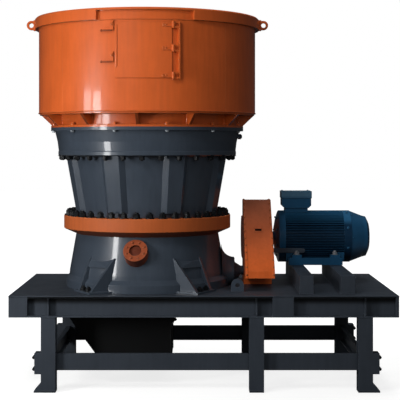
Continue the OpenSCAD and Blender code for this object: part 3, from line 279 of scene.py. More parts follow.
# Blue enamel on fine cast iron, deep and glossy.
BLUE_CAST = painted("blue_enamel_on_cast_iron", "#1b4c6e", dust="#4a6274", edge="#4a7c9c",
                    roughness=0.34, coat=0.45, grain=8, depth=0.1)
# The same enamel on the fins, painted darker as painted shade between them and paler towards the top
# as painted light from above.
BLUE_FINS_SHADE_AND_LIGHT = painted("blue_enamel_on_fins_with_painted_shade_and_light", "#0b2a42", dust="#2c4a60", edge="#2f6286",
                    roughness=0.4, coat=0.3, grain=8, depth=0.1, fades=("#24587c", 1.90, 1.97))
# Enamel on the terminal box, painted paler on its lid as painted light from above.
BLUE_BOX = painted("blue_enamel_on_terminal_box_with_painted_light_on_the_lid", "#1b4c6e", dust="#4a6274", edge="#5a8aa6",
                   roughness=0.34, coat=0.45, grain=8, depth=0.1,
                   fades=("#4a6f88", 2.24, 2.29))
# Moulded rubber of seals, black and matt.
RUBBER = painted("black_moulded_rubber", "#101112", dust="#1d1e1f", edge="#1d1e20",
                 roughness=0.75, coat=0.0, grain=4, depth=0.05)
# Austenitic manganese castings, fresh from the mould: grey with brown stains.
MANGANESE = bare_metal("cast_manganese_steel", "#6f7071", stain="#5a4c40", roughness=0.55,
                       grain=18, depth=0.5, metallic=0.85)
# Phosphated fasteners: nearly black, dull, with a faint steel shine.
BLACK_BOLT = bare_metal("phosphated_bolt_steel", "#15171a", stain="#222324", roughness=0.5,
                        grain=5, depth=0.05, metallic=0.4)
# Zinc-plated fasteners: pale and slightly blue.
ZINC = bare_metal("zinc_plated_steel", "#aab0b6", stain="#7e8488", roughness=0.35, grain=5,
                  depth=0.04, metallic=0.5)

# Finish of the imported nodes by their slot, and of those that differ from the rest of their slot.
FINISH = {
    "orange_paint": ORANGE, "casting_grey": GREY_CAST, "casting_dark": DARK_CAST,
    "frame_paint": GREY_PLATE, "chute_paint": BLACK_AND_PAINTED_SHADE, "motor_blue": BLUE_CAST,
    "manganese_steel": MANGANESE,
}
SPECIAL = {
    "clamping_ring": ORANGE_CAST, "inspection_cover": ORANGE_DULL, "hopper_base": ORANGE_BASE,
    "belt_guard": ORANGE_GUARD, "motor_frame": BLUE_FINS_SHADE_AND_LIGHT, "terminal_box": BLUE_BOX,
    "lifting_lugs": GREY_CAST, "front_beam": GREY_BEAM, "rear_beam": GREY_BEAM,
}
for part in frame["record"]["subparts"]:
    material = SPECIAL.get(part["node"], FINISH[part["material_slot"]])
    for slot in frame["nodes"][part["node"]].material_slots:
        slot.material = material

# ---- modelling helpers ----

# Angles from which an edge counts as sharp, for its rounding and for its shading
BEVEL_FROM, SHADE_FROM = 40, 35


def start(kind, **settings):
    """Adds a primitive as the only selected object, with its place already in its mesh."""
    bpy.ops.object.select_all(action="DESELECT")
    getattr(bpy.ops.mesh, "primitive_" + kind + "_add")(**settings)
    bpy.ops.object.transform_apply(location=True, rotation=True, scale=True)
    return bpy.context.object


def edit_all():
    """Opens the active piece for editing with everything selected."""
    bpy.ops.object.mode_set(mode="EDIT")
    bpy.ops.mesh.select_all(action="SELECT")


def pick(piece, test):
    """Opens a piece for editing with only the faces selected whose centre and normal pass."""
    bpy.ops.object.mode_set(mode="EDIT")
    bpy.ops.mesh.select_mode(type="FACE")
    bpy.ops.mesh.select_all(action="DESELECT")
    mesh = bmesh.from_edit_mesh(piece.data)
    for face in mesh.faces:
        if test(face.calc_center_median(), face.normal):
            face.select_set(True)
    bmesh.update_edit_mesh(piece.data)


def extrude(x, y, z):
    """Extrudes the selected faces."""
    bpy.ops.mesh.extrude_region_move(TRANSFORM_OT_translate={"value": (x, y, z)})


def draw_in(width, height):
    """Insets the selected faces, moves them along Z and leaves edit mode."""
    bpy.ops.mesh.inset(thickness=width)
    bpy.ops.transform.translate(value=(0, 0, height))
    done()


def done():
    """Leaves edit mode."""
    bpy.ops.object.mode_set(mode="OBJECT")


def chamfer_top(piece, width, height):
    """Chamfers the top face of a piece."""
    pick(piece, lambda centre, normal: normal.z > 0.9)
    draw_in(width, height)


def apply_modifier(piece, kind, **settings):
    """Gives a piece a modifier and applies it."""
    modifier = piece.modifiers.new("change", kind)
    for key, value in settings.items():
        setattr(modifier, key, value)
    bpy.context.view_layer.objects.active = piece
    bpy.ops.object.modifier_apply(modifier=modifier.name)


def bevel_all(piece, width):
    """Rounds a piece's sharp edges."""
    apply_modifier(piece, "BEVEL", width=width, segments=2, limit_method="ANGLE",
                   angle_limit=math.radians(BEVEL_FROM))


def block(size, place, rounding):
    """Box of a given size, centred at a place, with rounded edges."""
    box = start("cube", size=1)
    box.data.transform(place @ Matrix.Diagonal((*size, 1)))
    bevel_all(box, rounding)
    return box


def joined(pieces):
    """Joins several objects into one."""
    bpy.ops.object.select_all(action="DESELECT")
    for piece in pieces:
        piece.select_set(True)
    bpy.context.view_layer.objects.active = pieces[0]
    bpy.ops.object.join()
    return pieces[0]


def copies(model, places):
    """Copies a model to each place, each with its own mesh, and joins the copies."""
    made = []
    for place in places:
        twin = model.copy()
        twin.data = model.data.copy()
        twin.data.transform(place)
        bpy.context.scene.collection.objects.link(twin)
        made.append(twin)
    bpy.data.objects.remove(model)
    return joined(made)


def finish(piece, name, material, body="crusher"):
    """Turns a piece's normals outwards, shades it, names it and lets it ride on its body."""
    bpy.ops.object.select_all(action="DESELECT")
    piece.select_set(True)
    bpy.context.view_layer.objects.active = piece
    edit_all()
    bpy.ops.mesh.normals_make_consistent(inside=False)
    done()
    bpy.ops.object.shade_smooth_by_angle(angle=math.radians(SHADE_FROM))
    piece.name = name
    piece.data.name = name
    piece.data.materials.clear()
    piece.data.materials.append(material)
    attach(piece, body)


def at_bearing(degrees, radius, z, tilt=0):
    """Place on the crusher at a bearing from the front; the model's +X then points outwards."""
    return shift(AXIS_X, 0, z) @ turn(degrees - 90, "Z") @ shift(radius, 0, 0) @ turn(tilt, "Y")


def ring_on(place, count, radius, first=0.0):
    """Places in a ring round the +Z axis of a place."""
    return [place @ turn(degrees, "Z") @ shift(radius, 0, 0) for degrees in shares(count, first)]


def facing(point, direction):
    """Place at a point with the model's +Z turned to a direction."""
    direction = Vector(direction).to_track_quat("Z", "Y")
    return Matrix.Translation(point) @ direction.to_matrix().to_4x4()


# ---- fasteners ----

# Nuts on studs: width across flats, height, the stud's diameter, height of the stud's end
RING_NUT = mm(74, 52, 50, 26)
COLLAR_NUT = mm(60, 44, 36, 16)
FLANGE_NUT = mm(36, 26, 24, 10)
FOOT_NUT = mm(60, 36, 36, 22)
CLAMP_NUT = mm(30, 18, 18, 8)
MOTOR_FOOT_NUT = mm(55, 34, 36, 20)
BRACKET_NUT = mm(36, 20, 24, 10)
CHUTE_NUT = mm(36, 22, 24, 14)
# Hexagon heads: width across flats, height
FLANGE_HEAD = mm(36, 20)
COVER_HEAD = mm(22, 9)
PINION_HEAD = mm(30, 14)
FITTING_HEAD = mm(46, 14)
CAP_HEAD = mm(46, 26)
CAP_PLUG_HEAD = mm(65, 22)
HINGE_HEAD = mm(17, 7)
GUARD_HEAD = mm(16, 7)
SHIELD_HEAD = mm(24, 12)
BEARING_HEAD = mm(16, 8)
COWL_HEAD = mm(17, 8)
LID_HEAD = mm(17, 8)


# The proportions below are shares of the width across flats, the height or the diameter.


def hex_head(across, height):
    """Hexagon head or nut standing on z = 0, chamfered, on its washer."""
    head = start("cylinder", vertices=6, radius=across / math.sqrt(3), depth=height,
                 location=(0, 0, height / 2))
    chamfer_top(head, across * 0.09, height * 0.14)
    washer = start("cylinder", vertices=16, radius=across * 0.78, depth=height * 0.16,
                   location=(0, 0, height * 0.08))
    chamfer_top(washer, across * 0.05, height * 0.04)
    return joined([head, washer])


def nut_and_stud(across, height, stud_d, stud_h):
    """Nut on its washer with the rounded end of its stud standing out."""
    nut = hex_head(across, height)
    stud = start("cylinder", vertices=12, radius=stud_d / 2, depth=stud_h,
                 location=(0, 0, height + stud_h / 2 - 0.1 * height))
    chamfer_top(stud, stud_d * 0.12, stud_d * 0.1)
    return joined([nut, stud])


# ---- weld beads ----

# Half the width of a bead on plate, and on the heavy joints
BEAD = 6 * MM
HEAVY_BEAD = 7 * MM
# Lengths of the steps in which round, curved and straight beads are made
ROUND_STEP, ARC_STEP, STRAIGHT_STEP = mm(22, 25, 30)


def rippled(piece, size):
    """Roughens a bead's surface with the ripples of the weld pool."""
    pattern = bpy.data.textures.new("ripples", "CLOUDS")
    pattern.noise_scale = size * 1.6
    apply_modifier(piece, "DISPLACE", texture=pattern, texture_coords="LOCAL",
                   strength=size * 0.5, mid_level=0.5)


def round_weld(radius, z):
    """Heavy bead that runs right round the crusher's axis."""
    bead = start("torus", major_radius=radius, minor_radius=HEAVY_BEAD,
                 major_segments=int(2 * math.pi * radius / ROUND_STEP), minor_segments=6,
                 location=(AXIS_X, 0, z))
    rippled(bead, HEAVY_BEAD)
    return bead


def arc_weld(radius, z, size, from_deg, to_deg):
    """Bead round a stretch of a circle about the crusher's axis, between two bearings."""
    bead = start("circle", vertices=6, radius=size, fill_type="NGON", location=(radius, 0, z),
                 rotation=(math.radians(90), 0, 0))
    edit_all()
    angle = math.radians(to_deg - from_deg)
    bpy.ops.mesh.spin(steps=int(angle * radius / ARC_STEP), angle=angle, center=(0, 0, 0),
                      axis=(0, 0, 1))
    done()
    rippled(bead, size)
    bead.data.transform(shift(AXIS_X, 0, 0) @ turn(from_deg - 90, "Z"))
    return bead


def straight_weld(begin, end, size=BEAD):
    """Bead between two points."""
    begin, end = Vector(begin), Vector(end)
    length = (end - begin).length
    bead = start("cylinder", vertices=6, radius=size, depth=length,
                 location=(0, 0, length / 2))
    bpy.ops.object.mode_set(mode="EDIT")
    bpy.ops.mesh.select_mode(type="EDGE")
    bpy.ops.mesh.select_all(action="DESELECT")
    mesh = bmesh.from_edit_mesh(bead.data)
    for edge in mesh.edges:
        low, high = sorted(v.co.z for v in edge.verts)
        edge.select_set(high - low > length / 2)
    bmesh.update_edit_mesh(bead.data)
    bpy.ops.mesh.subdivide(number_cuts=max(2, int(length / STRAIGHT_STEP)))
    done()
    rippled(bead, size)
    bead.data.transform(facing(begin, end - begin))
    return bead


def cross_weld(x, half, y, z):
    """Bead along X, to the same length on both sides of a place."""
    return straight_weld((x - half, y, z), (x + half, y, z))


# ---- crusher ----

# Forty studs hold the clamping ring down: dark nuts with domed caps over their stud ends.
STUD_R = RING_R - 62 * MM
finish(copies(nut_and_stud(*RING_NUT),
              [at_bearing(b, STUD_R, RING_HIGH.z) for b in shares(40, first=4)]),
       "ring_studs", BLACK_BOLT)

# Thirty nuts hang under the collar, which bolts down on the conical body.
COLLAR_NUT_R = 1112 * MM
COLLAR_UNDER = COLLAR_TOP - 354 * MM
finish(copies(nut_and_stud(*COLLAR_NUT),
              [at_bearing(b, COLLAR_NUT_R, COLLAR_UNDER, 180) for b in shares(30, first=-1)]),
       "collar_nuts", BLACK_BOLT)

# Bolts through the collar's upper flange and the hopper base: plated heads below, nuts above.
HEAD_R, NUT_R = mm(1221, 1216)
FLANGE_UNDER = COLLAR_TOP - 40 * MM
BASE_PLATE_TOP = COLLAR_TOP + 25 * MM
flange_bearings = shares(12, first=-16.5)
finish(copies(hex_head(*FLANGE_HEAD),
              [at_bearing(b, HEAD_R, FLANGE_UNDER, 180) for b in flange_bearings]),
       "flange_bolt_heads", ZINC)
finish(copies(nut_and_stud(*FLANGE_NUT),
              [at_bearing(b, NUT_R, BASE_PLATE_TOP) for b in flange_bearings]),
       "flange_bolt_nuts", ORANGE)

# Weld beads of the hopper: round its foot, under its rim apart from the gap over the hatch, and
# down both sides of each gusset of the base, from plate to plate.
RIM_GAP = (-23, 25.5)
BASE_R, BASE_PLATE, GUSSET_END = mm(1181, 26, 28)
GUSSET_HALF = 0.98
rim_foot = arc_weld(HOPPER_R + 3 * MM, RIM_LOW.z, BEAD, RIM_GAP[1], 360 + RIM_GAP[0])
gusset_side = straight_weld((0, 0, COLLAR_TOP + GUSSET_END), (0, 0, HOPPER_Z - GUSSET_END))
gusset_beads = copies(gusset_side, [at_bearing(b + side, BASE_R + 1 * MM, 0)
                                    for b in shares(12, first=-3)
                                    for side in (-GUSSET_HALF, GUSSET_HALF)])
finish(joined([round_weld(HOPPER_R + 2 * MM, HOPPER_Z),
               round_weld(BASE_R, COLLAR_TOP + BASE_PLATE),
               round_weld(BASE_R, HOPPER_Z - BASE_PLATE), rim_foot, gusset_beads]),
       "hopper_welds", ORANGE)

# Inspection cover: eight cap screws on its face, round the dish.
COVER_BEARING, COVER_TILT = -5.9, 56
COVER_R, COVER_UP, COVER_SCREWS_R = mm(1025, 528, 112)
COVER = at_bearing(COVER_BEARING, COVER_R, DECK_TOP + COVER_UP, COVER_TILT)
finish(copies(hex_head(*COVER_HEAD), ring_on(COVER, 8, COVER_SCREWS_R, first=22.5)),
       "inspection_cover_screws", ORANGE_DULL)
# The plug in the cover's dish, with a hexagon socket to turn it by.
PLUG_R, PLUG_THICK, PLUG_SUNK = mm(73, 10, 34)
SOCKET_R, SOCKET_RIM, SOCKET_LEVEL, SOCKET_DEEP = mm(30, 7, 5.4, 4)
plug = start("cylinder", vertices=48, radius=PLUG_R, depth=PLUG_THICK)
bevel_all(plug, 2 * MM)
socket = start("circle", vertices=6, radius=SOCKET_R, fill_type="NGON",
               location=(0, 0, SOCKET_LEVEL))
edit_all()
bpy.ops.mesh.inset(thickness=SOCKET_RIM)
extrude(0, 0, -SOCKET_DEEP)
done()
plug = joined([plug, socket])
plug.data.transform(COVER @ shift(0, 0, -PLUG_SUNK))
# the plug's enamel is painted dark as painted shade in the dish
finish(plug, "inspection_cover_plug", ORANGE_DARK)

# Feet: two holding-down nuts on each pad, and beads along both sides of the ribs. The ribs run
# at 30 degrees to the platform, and stand at two distances from the crusher's axis, in mm.
FOOT_DEG = 30
RIB_OFFSETS = (255, 585)
RIB_HALF = 22
SHELL_R = 1054
RIB_END = 1086
FOOT_NUT_ALONG = 1068
FOOT_NUT_OFFSETS = (345, 495)
PAD_TOP = DECK_TOP + 24.3 * MM


def foot_places(along, offset):
    """The four mirrored places of a point of a foot, given along and across its ribs."""
    cosine, sine = math.cos(math.radians(FOOT_DEG)), math.sin(math.radians(FOOT_DEG))
    x = (along * cosine - offset * sine) * MM
    y = (along * sine + offset * cosine) * MM
    return [(AXIS_X + side_x * x, side_y * y) for side_x in (-1, 1) for side_y in (1, -1)]


finish(copies(nut_and_stud(*FOOT_NUT),
              [shift(x, y, PAD_TOP) for offset in FOOT_NUT_OFFSETS
               for x, y in foot_places(FOOT_NUT_ALONG, offset)]),
       "foot_nuts", BLACK_BOLT)
foot_beads = []
for offset in [rib + side for rib in RIB_OFFSETS for side in (-RIB_HALF, RIB_HALF)]:
    inner = math.sqrt(SHELL_R ** 2 - offset ** 2)
    for begin, end in zip(foot_places(inner, offset), foot_places(RIB_END, offset)):
        foot_beads.append(straight_weld((*begin, PAD_TOP), (*end, PAD_TOP), HEAVY_BEAD))
finish(joined(foot_beads), "foot_welds", GREY_CAST)

# Pinion shaft housing: ten cap screws round its end cover, and the plug of the fitting that
# stands out of the collar above it.
PINION_END, PINION_UP, PINION_SCREWS_R = mm(1118, 180, 146)
FITTING_END, FITTING_DOWN = mm(1215, 110)
PINION = shift(AXIS_X + PINION_END, 0, DECK_TOP + PINION_UP) @ turn(90, "Y")
pinion_screws = copies(hex_head(*PINION_HEAD), ring_on(PINION, 10, PINION_SCREWS_R))
fitting_plug = hex_head(*FITTING_HEAD)
fitting_plug.data.transform(shift(AXIS_X + FITTING_END, 0, COLLAR_TOP - FITTING_DOWN)
                            @ turn(90, "Y"))
finish(joined([pinion_screws, fitting_plug]), "pinion_cover_screws", BLACK_BOLT)

# Spider cap: eight bolts on its slope and a plug in the lifting thread at its top.
CAP_BOLTS_R, CAP_BOLTS_DOWN = mm(160, 24.4)
CAP_SLOPE = 8.7
cap_bolts = copies(hex_head(*CAP_HEAD),
                   [at_bearing(b, CAP_BOLTS_R, CAP_TOP - CAP_BOLTS_DOWN, CAP_SLOPE)
                    for b in shares(8, first=22.5)])
cap_plug = hex_head(*CAP_PLUG_HEAD)
cap_plug.data.transform(shift(AXIS_X, 0, CAP_TOP - 2 * MM))
finish(joined([cap_bolts, cap_plug]), "spider_cap_bolts", BLACK_BOLT)

# ---- hatch ----

# Hinges and clamps sit at shares of the hatch's height.
HATCH_TALL = 660 * MM
HATCH_MID = (HATCH_LOW.z + HATCH_HIGH.z) / 2
HINGE_SHARES, CLAMP_SHARES = (0.04, 0.53, 0.95), (0.29, 0.85)
hinge_levels = [HATCH_LOW.z + share * HATCH_TALL for share in HINGE_SHARES]
clamp_levels = [HATCH_LOW.z + share * HATCH_TALL for share in CLAMP_SHARES]
# Clamp bolts: a nut on each clamp bar, which turns on its stud.
CLAMP_BEARING = -14.6
CLAMP_R, CLAMP_NUT_UP, LEVER_R = mm(1430, 82, 1437)
finish(copies(nut_and_stud(*CLAMP_NUT),
              [at_bearing(CLAMP_BEARING, CLAMP_R, level + CLAMP_NUT_UP, 90)
               for level in clamp_levels]),
       "clamp_nuts", ORANGE)
# Clamp levers: round bars with a knob at the free end, lying along the wall.
LEVER_LONG, LEVER_THICK, KNOB_R, KNOB_FLAT = mm(128, 9, 15, 12)
LEVER_TURN = 2.6
lever = start("cylinder", vertices=16, radius=LEVER_THICK, depth=LEVER_LONG,
              location=(0, 0, LEVER_LONG / 2))
bevel_all(lever, 1.5 * MM)
knob = start("uv_sphere", segments=20, ring_count=12, radius=KNOB_R,
             location=(0, 0, LEVER_LONG))
pick(knob, lambda centre, normal: centre.z > LEVER_LONG + KNOB_FLAT)
draw_in(1 * MM, 2 * MM)
finish(copies(joined([lever, knob]),
              [at_bearing(CLAMP_BEARING, LEVER_R, level) @ turn(LEVER_TURN, "Z") @ turn(90, "X")
               for level in clamp_levels]),
       "clamp_levers", ORANGE_DULL)
# Edge bar of the hatch on the clamps' side, which they press on.
EDGE_BAR = mm(8, 22, 500)
EDGE_BEARING = -12.6
EDGE_R, EDGE_UP = mm(1418, 50)
edge_place = at_bearing(EDGE_BEARING, EDGE_R + EDGE_BAR[0] / 2, HATCH_MID + EDGE_UP)
finish(block(EDGE_BAR, edge_place, 2 * MM), "hatch_edge_bar", ORANGE, "hatch")
# Screws that hold the moving straps of the hinges on the hatch.
STRAP_R = 1432 * MM
STRAP_BEARINGS = (9.9, 11.2)
finish(copies(hex_head(*HINGE_HEAD), [at_bearing(b, STRAP_R, level, 90)
                                      for level in hinge_levels for b in STRAP_BEARINGS]),
       "hinge_screws", ORANGE, "hatch")
# Bead under the post that carries the fixed leaves.
POST_DOWN, POST_BEAD = mm(41, 5)
POST_BEARINGS = (17.2, 18.1)
finish(arc_weld(HOPPER_R + 2 * MM, hinge_levels[0] - POST_DOWN, POST_BEAD, *POST_BEARINGS),
       "hinge_post_weld", ORANGE)

# ---- belt guard ----

# The guard's front from its foot up, as corners in Y and Z.
LIP = (GUARD_LOW.y, DECK_TOP + 141 * MM)
BEND = (GUARD_LOW.y, DECK_TOP + 231 * MM)
BROW = (220 * MM, GUARD_HIGH.z)
BACK = (430 * MM, GUARD_HIGH.z)
front_runs = [(LIP, BEND), (BEND, BROW), (BROW, BACK)]
GUARD_MID = (GUARD_LOW.x + GUARD_HIGH.x) / 2
GUARD_WIDE = GUARD_HIGH.x - GUARD_LOW.x


def on_guard(run, along, x, lift=0.0):
    """Place on the guard's front: along a run from 0 to 1, +Z outwards, +X to the right."""
    (y0, z0), (y1, z1) = run
    rise = math.atan2(z1 - z0, y1 - y0)
    outwards = Vector((0, -math.sin(rise), math.cos(rise)))
    point = Vector((x, y0 + (y1 - y0) * along, z0 + (z1 - z0) * along)) + outwards * lift
    return Matrix.Translation(point) @ Matrix.Rotation(rise, 4, "X")


# Flat bars along both edges of the guard's front, screwed down every 120 mm or so.
BAR_WIDE, BAR_THICK, SCREW_PITCH = mm(30, 5, 120)
bars, screws = [], []
for run in front_runs:
    length = math.dist(*run)
    count = max(1, round(length / SCREW_PITCH))
    for side in (-1, 1):
        x = GUARD_MID + side * (GUARD_WIDE - BAR_WIDE) / 2
        bars.append(block((BAR_WIDE, length, BAR_THICK), on_guard(run, 0.5, x, BAR_THICK / 2),
                          1.2 * MM))
        screws += [on_guard(run, (k + 0.5) / count, x, BAR_THICK) for k in range(count)]
finish(joined(bars), "guard_edge_bars", ORANGE_GUARD)
finish(copies(hex_head(*GUARD_HEAD), screws), "guard_screws", ORANGE_CAST)

# Inspection slot in the sloping front: a folded frame round the opening, in which a thin black sheet
# is painted shade.
SLOT_ALONG = 0.568
SLOT_WIDE, SLOT_TALL, SLOT_EDGE, SLOT_FOLD = mm(89, 47, 12, 6)
slot_place = on_guard(front_runs[1], SLOT_ALONG, GUARD_MID)
slot_frame = block((SLOT_WIDE + 2 * SLOT_EDGE, SLOT_TALL + 2 * SLOT_EDGE, SLOT_FOLD),
                   shift(0, 0, SLOT_FOLD / 2), 2 * MM)
pick(slot_frame, lambda centre, normal: normal.z > 0.95 and centre.z > SLOT_FOLD - 1 * MM)
draw_in(SLOT_EDGE, -5 * MM)
slot_frame.data.transform(slot_place)
finish(slot_frame, "guard_slot_frame", ORANGE_GUARD)
# thin black sheet in the opening: painted shade
slot_painted_shade = block((SLOT_WIDE - 6 * MM, SLOT_TALL - 14 * MM, 2 * MM),
                  slot_place @ shift(0, 0, 1 * MM), 0.6 * MM)
finish(slot_painted_shade, "guard_slot_painted_shade", BLACK_AND_PAINTED_SHADE)

# Stay from the guard to the motor's front foot: a flat bar with a round end, on a lug.
STAY_X, STAY_Y, STAY_R, STAY_THICK, STAY_OVERLAP = mm(1330, 366, 32, 24, 30)
STAY_Z = DECK_TOP + 403 * MM
stay = start("cylinder", vertices=24, radius=STAY_R, depth=STAY_THICK,
             rotation=(math.radians(90), 0, 0), location=(STAY_X, STAY_Y, STAY_Z))
pick(stay, lambda centre, normal: centre.x < STAY_X - 5 * MM and abs(normal.y) < 0.1)
extrude(GUARD_HIGH.x - STAY_X + STAY_OVERLAP, 0, 0)
done()
bevel_all(stay, 3 * MM)
LUG_X, LUG_UP = mm(1250, 365)
lug = block(mm(80, 20, 40), shift(LUG_X, STAY_Y, DECK_TOP + LUG_UP), 3 * MM)
finish(joined([stay, lug]), "guard_stay", GREY_CAST)

# ---- motor ----


def round_motor(degrees, radius, x, tilt=90):
    """Place round the motor's axis; tilt 90 looks along +X, -90 along -X and 0 outwards."""
    return (shift(x, MOTOR_Y, MOTOR_Z) @ turn(degrees, "X") @ shift(0, 0, radius)
            @ turn(tilt, "Y"))


# Screws of the drive end shield, its bearing cover, the fan cowl and the frame's rear ring,
# which has none over the feet.
SHIELD_X = FRAME_LOW.x - 144 * MM
SHIELD_FLANGE, COWL_EDGE, REAR_RING = mm(32, 12, 48)
SHIELD_SCREWS_R, BEARING_SCREWS_R, COWL_R = mm(272, 92, 342.5)
eighths = shares(8, first=22.5)
screws = [
    copies(hex_head(*SHIELD_HEAD), [round_motor(d, SHIELD_SCREWS_R, SHIELD_X + SHIELD_FLANGE, -90)
                                    for d in eighths]),
    copies(hex_head(*BEARING_HEAD), [round_motor(d, BEARING_SCREWS_R, SHIELD_X, -90)
                                     for d in shares(6)]),
    copies(hex_head(*COWL_HEAD), [round_motor(d, COWL_R, COWL_LOW.x + COWL_EDGE, 0)
                                  for d in shares(6, first=30)]),
    copies(hex_head(*SHIELD_HEAD), [round_motor(d, MOTOR_R, FRAME_HIGH.x - REAR_RING, 0)
                                    for d in eighths[:3] + eighths[5:]]),
]
finish(joined(screws), "motor_screws", BLUE_CAST)

# Fan grille in the cowl's end: rings and spokes over a black disc that is painted shade for the
# cowl's inside.
GRILLE_R, WIRE_R, SPOKE_R = mm(190, 3.5, 4)
RING_RADII = mm(*range(30, 200, 20))
# black disc behind the grille: painted shade
painted_shade_disc = start("cylinder", vertices=48, radius=GRILLE_R, depth=2 * MM)
bevel_all(painted_shade_disc, 0.5 * MM)
painted_shade_disc.data.transform(round_motor(0, 0, COWL_HIGH.x + 0.4 * MM))
finish(painted_shade_disc, "fan_painted_shade_disc", BLACK_AND_PAINTED_SHADE)
grille = [start("torus", major_radius=radius, minor_radius=WIRE_R, major_segments=64,
                minor_segments=8) for radius in RING_RADII]
for i in range(4):
    spoke = start("cylinder", vertices=8, radius=SPOKE_R, depth=2 * GRILLE_R,
                  rotation=(math.radians(90), 0, math.radians(45 * i)))
    bevel_all(spoke, 1 * MM)
    grille.append(spoke)
grille = joined(grille)
grille.data.transform(round_motor(0, 0, COWL_HIGH.x + 3 * MM))
finish(grille, "fan_grille", BLUE_CAST)

# Terminal box: rubber seal under the lid and a captive screw at each corner.
LID_THICK, SEAL_THICK, SEAL_INSET, LID_SCREW_INSET = mm(93, 4, 4, 28)
BOX_MID = (BOX_LOW.x + BOX_HIGH.x) / 2
seal = block((BOX_HIGH.x - BOX_LOW.x - 2 * SEAL_INSET, BOX_HIGH.y - BOX_LOW.y - 2 * SEAL_INSET,
              SEAL_THICK),
             shift(BOX_MID, MOTOR_Y, BOX_HIGH.z - LID_THICK - SEAL_THICK / 2), 1 * MM)
finish(seal, "terminal_box_seal", RUBBER)
finish(copies(hex_head(*LID_HEAD),
              [shift(x, y, BOX_HIGH.z)
               for x in (BOX_LOW.x + LID_SCREW_INSET, BOX_HIGH.x - LID_SCREW_INSET)
               for y in (BOX_LOW.y + LID_SCREW_INSET, BOX_HIGH.y - LID_SCREW_INSET)]),
       "terminal_box_screws", BLUE_CAST)

# Motor feet: a nut on a thick washer in the middle of each bolt pad.
STAND_HALF, PAD_OUT, PAD_UP = mm(85, 350, 349)
STAND_XS = [STAND_LOW.x + STAND_HALF, STAND_HIGH.x - STAND_HALF]
finish(copies(nut_and_stud(*MOTOR_FOOT_NUT),
              [shift(x, MOTOR_Y + side * PAD_OUT, DECK_TOP + PAD_UP)
               for x in STAND_XS for side in (-1, 1)]),
       "motor_foot_nuts", ZINC)

# ---- platform ----

# Weld beads: stand beams on the deck, lifting lugs, and the legs' flanges at top and foot.
DECK_LUG_X = AXIS_X + 1143 * MM
DECK_LUG_HALF, LEG_HALF, BEAM_TALL, BASE_PLATE_THICK = mm(78, 87, 248, 20)
LUG_FACES = mm(-790, -760, 760, 790)
FLANGE_FACES = mm(-1190, -1020, 1020, 1190)
LEG_XS = [DECK_LOW.x + 475 * MM, AXIS_X + 1360 * MM, DECK_HIGH.x - 400 * MM]
beads = []
for x in STAND_XS:
    for side in (-STAND_HALF, STAND_HALF):
        beads.append(straight_weld((x + side, STAND_LOW.y, DECK_TOP),
                                   (x + side, STAND_HIGH.y, DECK_TOP)))
    beads += [cross_weld(x, STAND_HALF, y, DECK_TOP) for y in (STAND_LOW.y, STAND_HIGH.y)]
beads += [cross_weld(DECK_LUG_X, DECK_LUG_HALF, y, DECK_TOP) for y in LUG_FACES]
beads += [cross_weld(x, LEG_HALF, y, z) for x in LEG_XS for y in FLANGE_FACES
          for z in (DECK_LOW.z - BEAM_TALL, BASE_PLATE_THICK)]
finish(joined(beads), "platform_welds", GREY_PLATE)

# Bracing brackets on the corner legs: four bolts on each outer face.
BRACKET_OUT = 165.5 * MM
BRACKET_YS = mm(-1150, -1060, 1060, 1150)
BRACKET_ZS = mm(275, 415)
finish(copies(nut_and_stud(*BRACKET_NUT),
              [facing((x + out * BRACKET_OUT, y, z), (out, 0, 0))
               for x, out in ((LEG_XS[0], -1), (LEG_XS[2], 1))
               for y in BRACKET_YS for z in BRACKET_ZS]),
       "bracket_bolts", BLACK_BOLT)

# Chute: beads down the edges of its front and rear plates, given from the crusher's axis, and
# a bolt in its clamp.
CHUTE_EDGES = ((mm(319, 845), mm(319, 200)), (mm(-930, 829), mm(-472, 200)))
CLAMP_X, CLAMP_Y, CLAMP_Z = mm(359, -678, 801)
chute_beads = []
for y in (CHUTE_LOW.y, CHUTE_HIGH.y):
    for (x0, z0), (x1, z1) in CHUTE_EDGES:
        chute_beads.append(straight_weld((AXIS_X + x0, y, z0), (AXIS_X + x1, y, z1)))
clamp_bolt = nut_and_stud(*CHUTE_NUT)
clamp_bolt.data.transform(facing((AXIS_X + CLAMP_X, CLAMP_Y, CLAMP_Z), (1, 0, 0)))
finish(joined(chute_beads + [clamp_bolt]), "chute_welds", BLACK_AND_PAINTED_SHADE)

# ---- stage ----

FLOOR_SIZE = 120.0
# The floor grows white between these distances from the middle of the platform
SWEEP_FROM, SWEEP_TO = 3.0, 9.0
SWEEP_GLOW = (0.80, 1.0)
floor = start("plane", size=FLOOR_SIZE, location=(0, 0, 0))
floor.name = "floor"
floor_material, tree, output = new_material("pale_floor")
path = add(tree, "LightPath")
away = add(tree, "VectorMath", {0: add(tree, "TexCoord").outputs["Object"]}, operation="LENGTH")
glow = mapped(tree, away.outputs["Value"], (SWEEP_FROM, SWEEP_TO), SWEEP_GLOW)
pale = add(tree, "BsdfDiffuse", {"Color": linear("#a6a6a4")})
dull = add(tree, "BsdfDiffuse", {"Color": linear("#5c5c5c")})
bright = add(tree, "Emission", {"Color": (1, 1, 1, 1), "Strength": glow})
seen = add(tree, "AddShader", {0: pale.outputs["BSDF"], 1: bright.outputs["Emission"]})
mixed = add(tree, "MixShader", {"Fac": path.outputs["Is Camera Ray"], 1: dull.outputs["BSDF"],
                                2: seen.outputs["Shader"]})
tree.links.new(mixed.outputs["Shader"], output.inputs["Surface"])
floor.data.materials.append(floor_material)

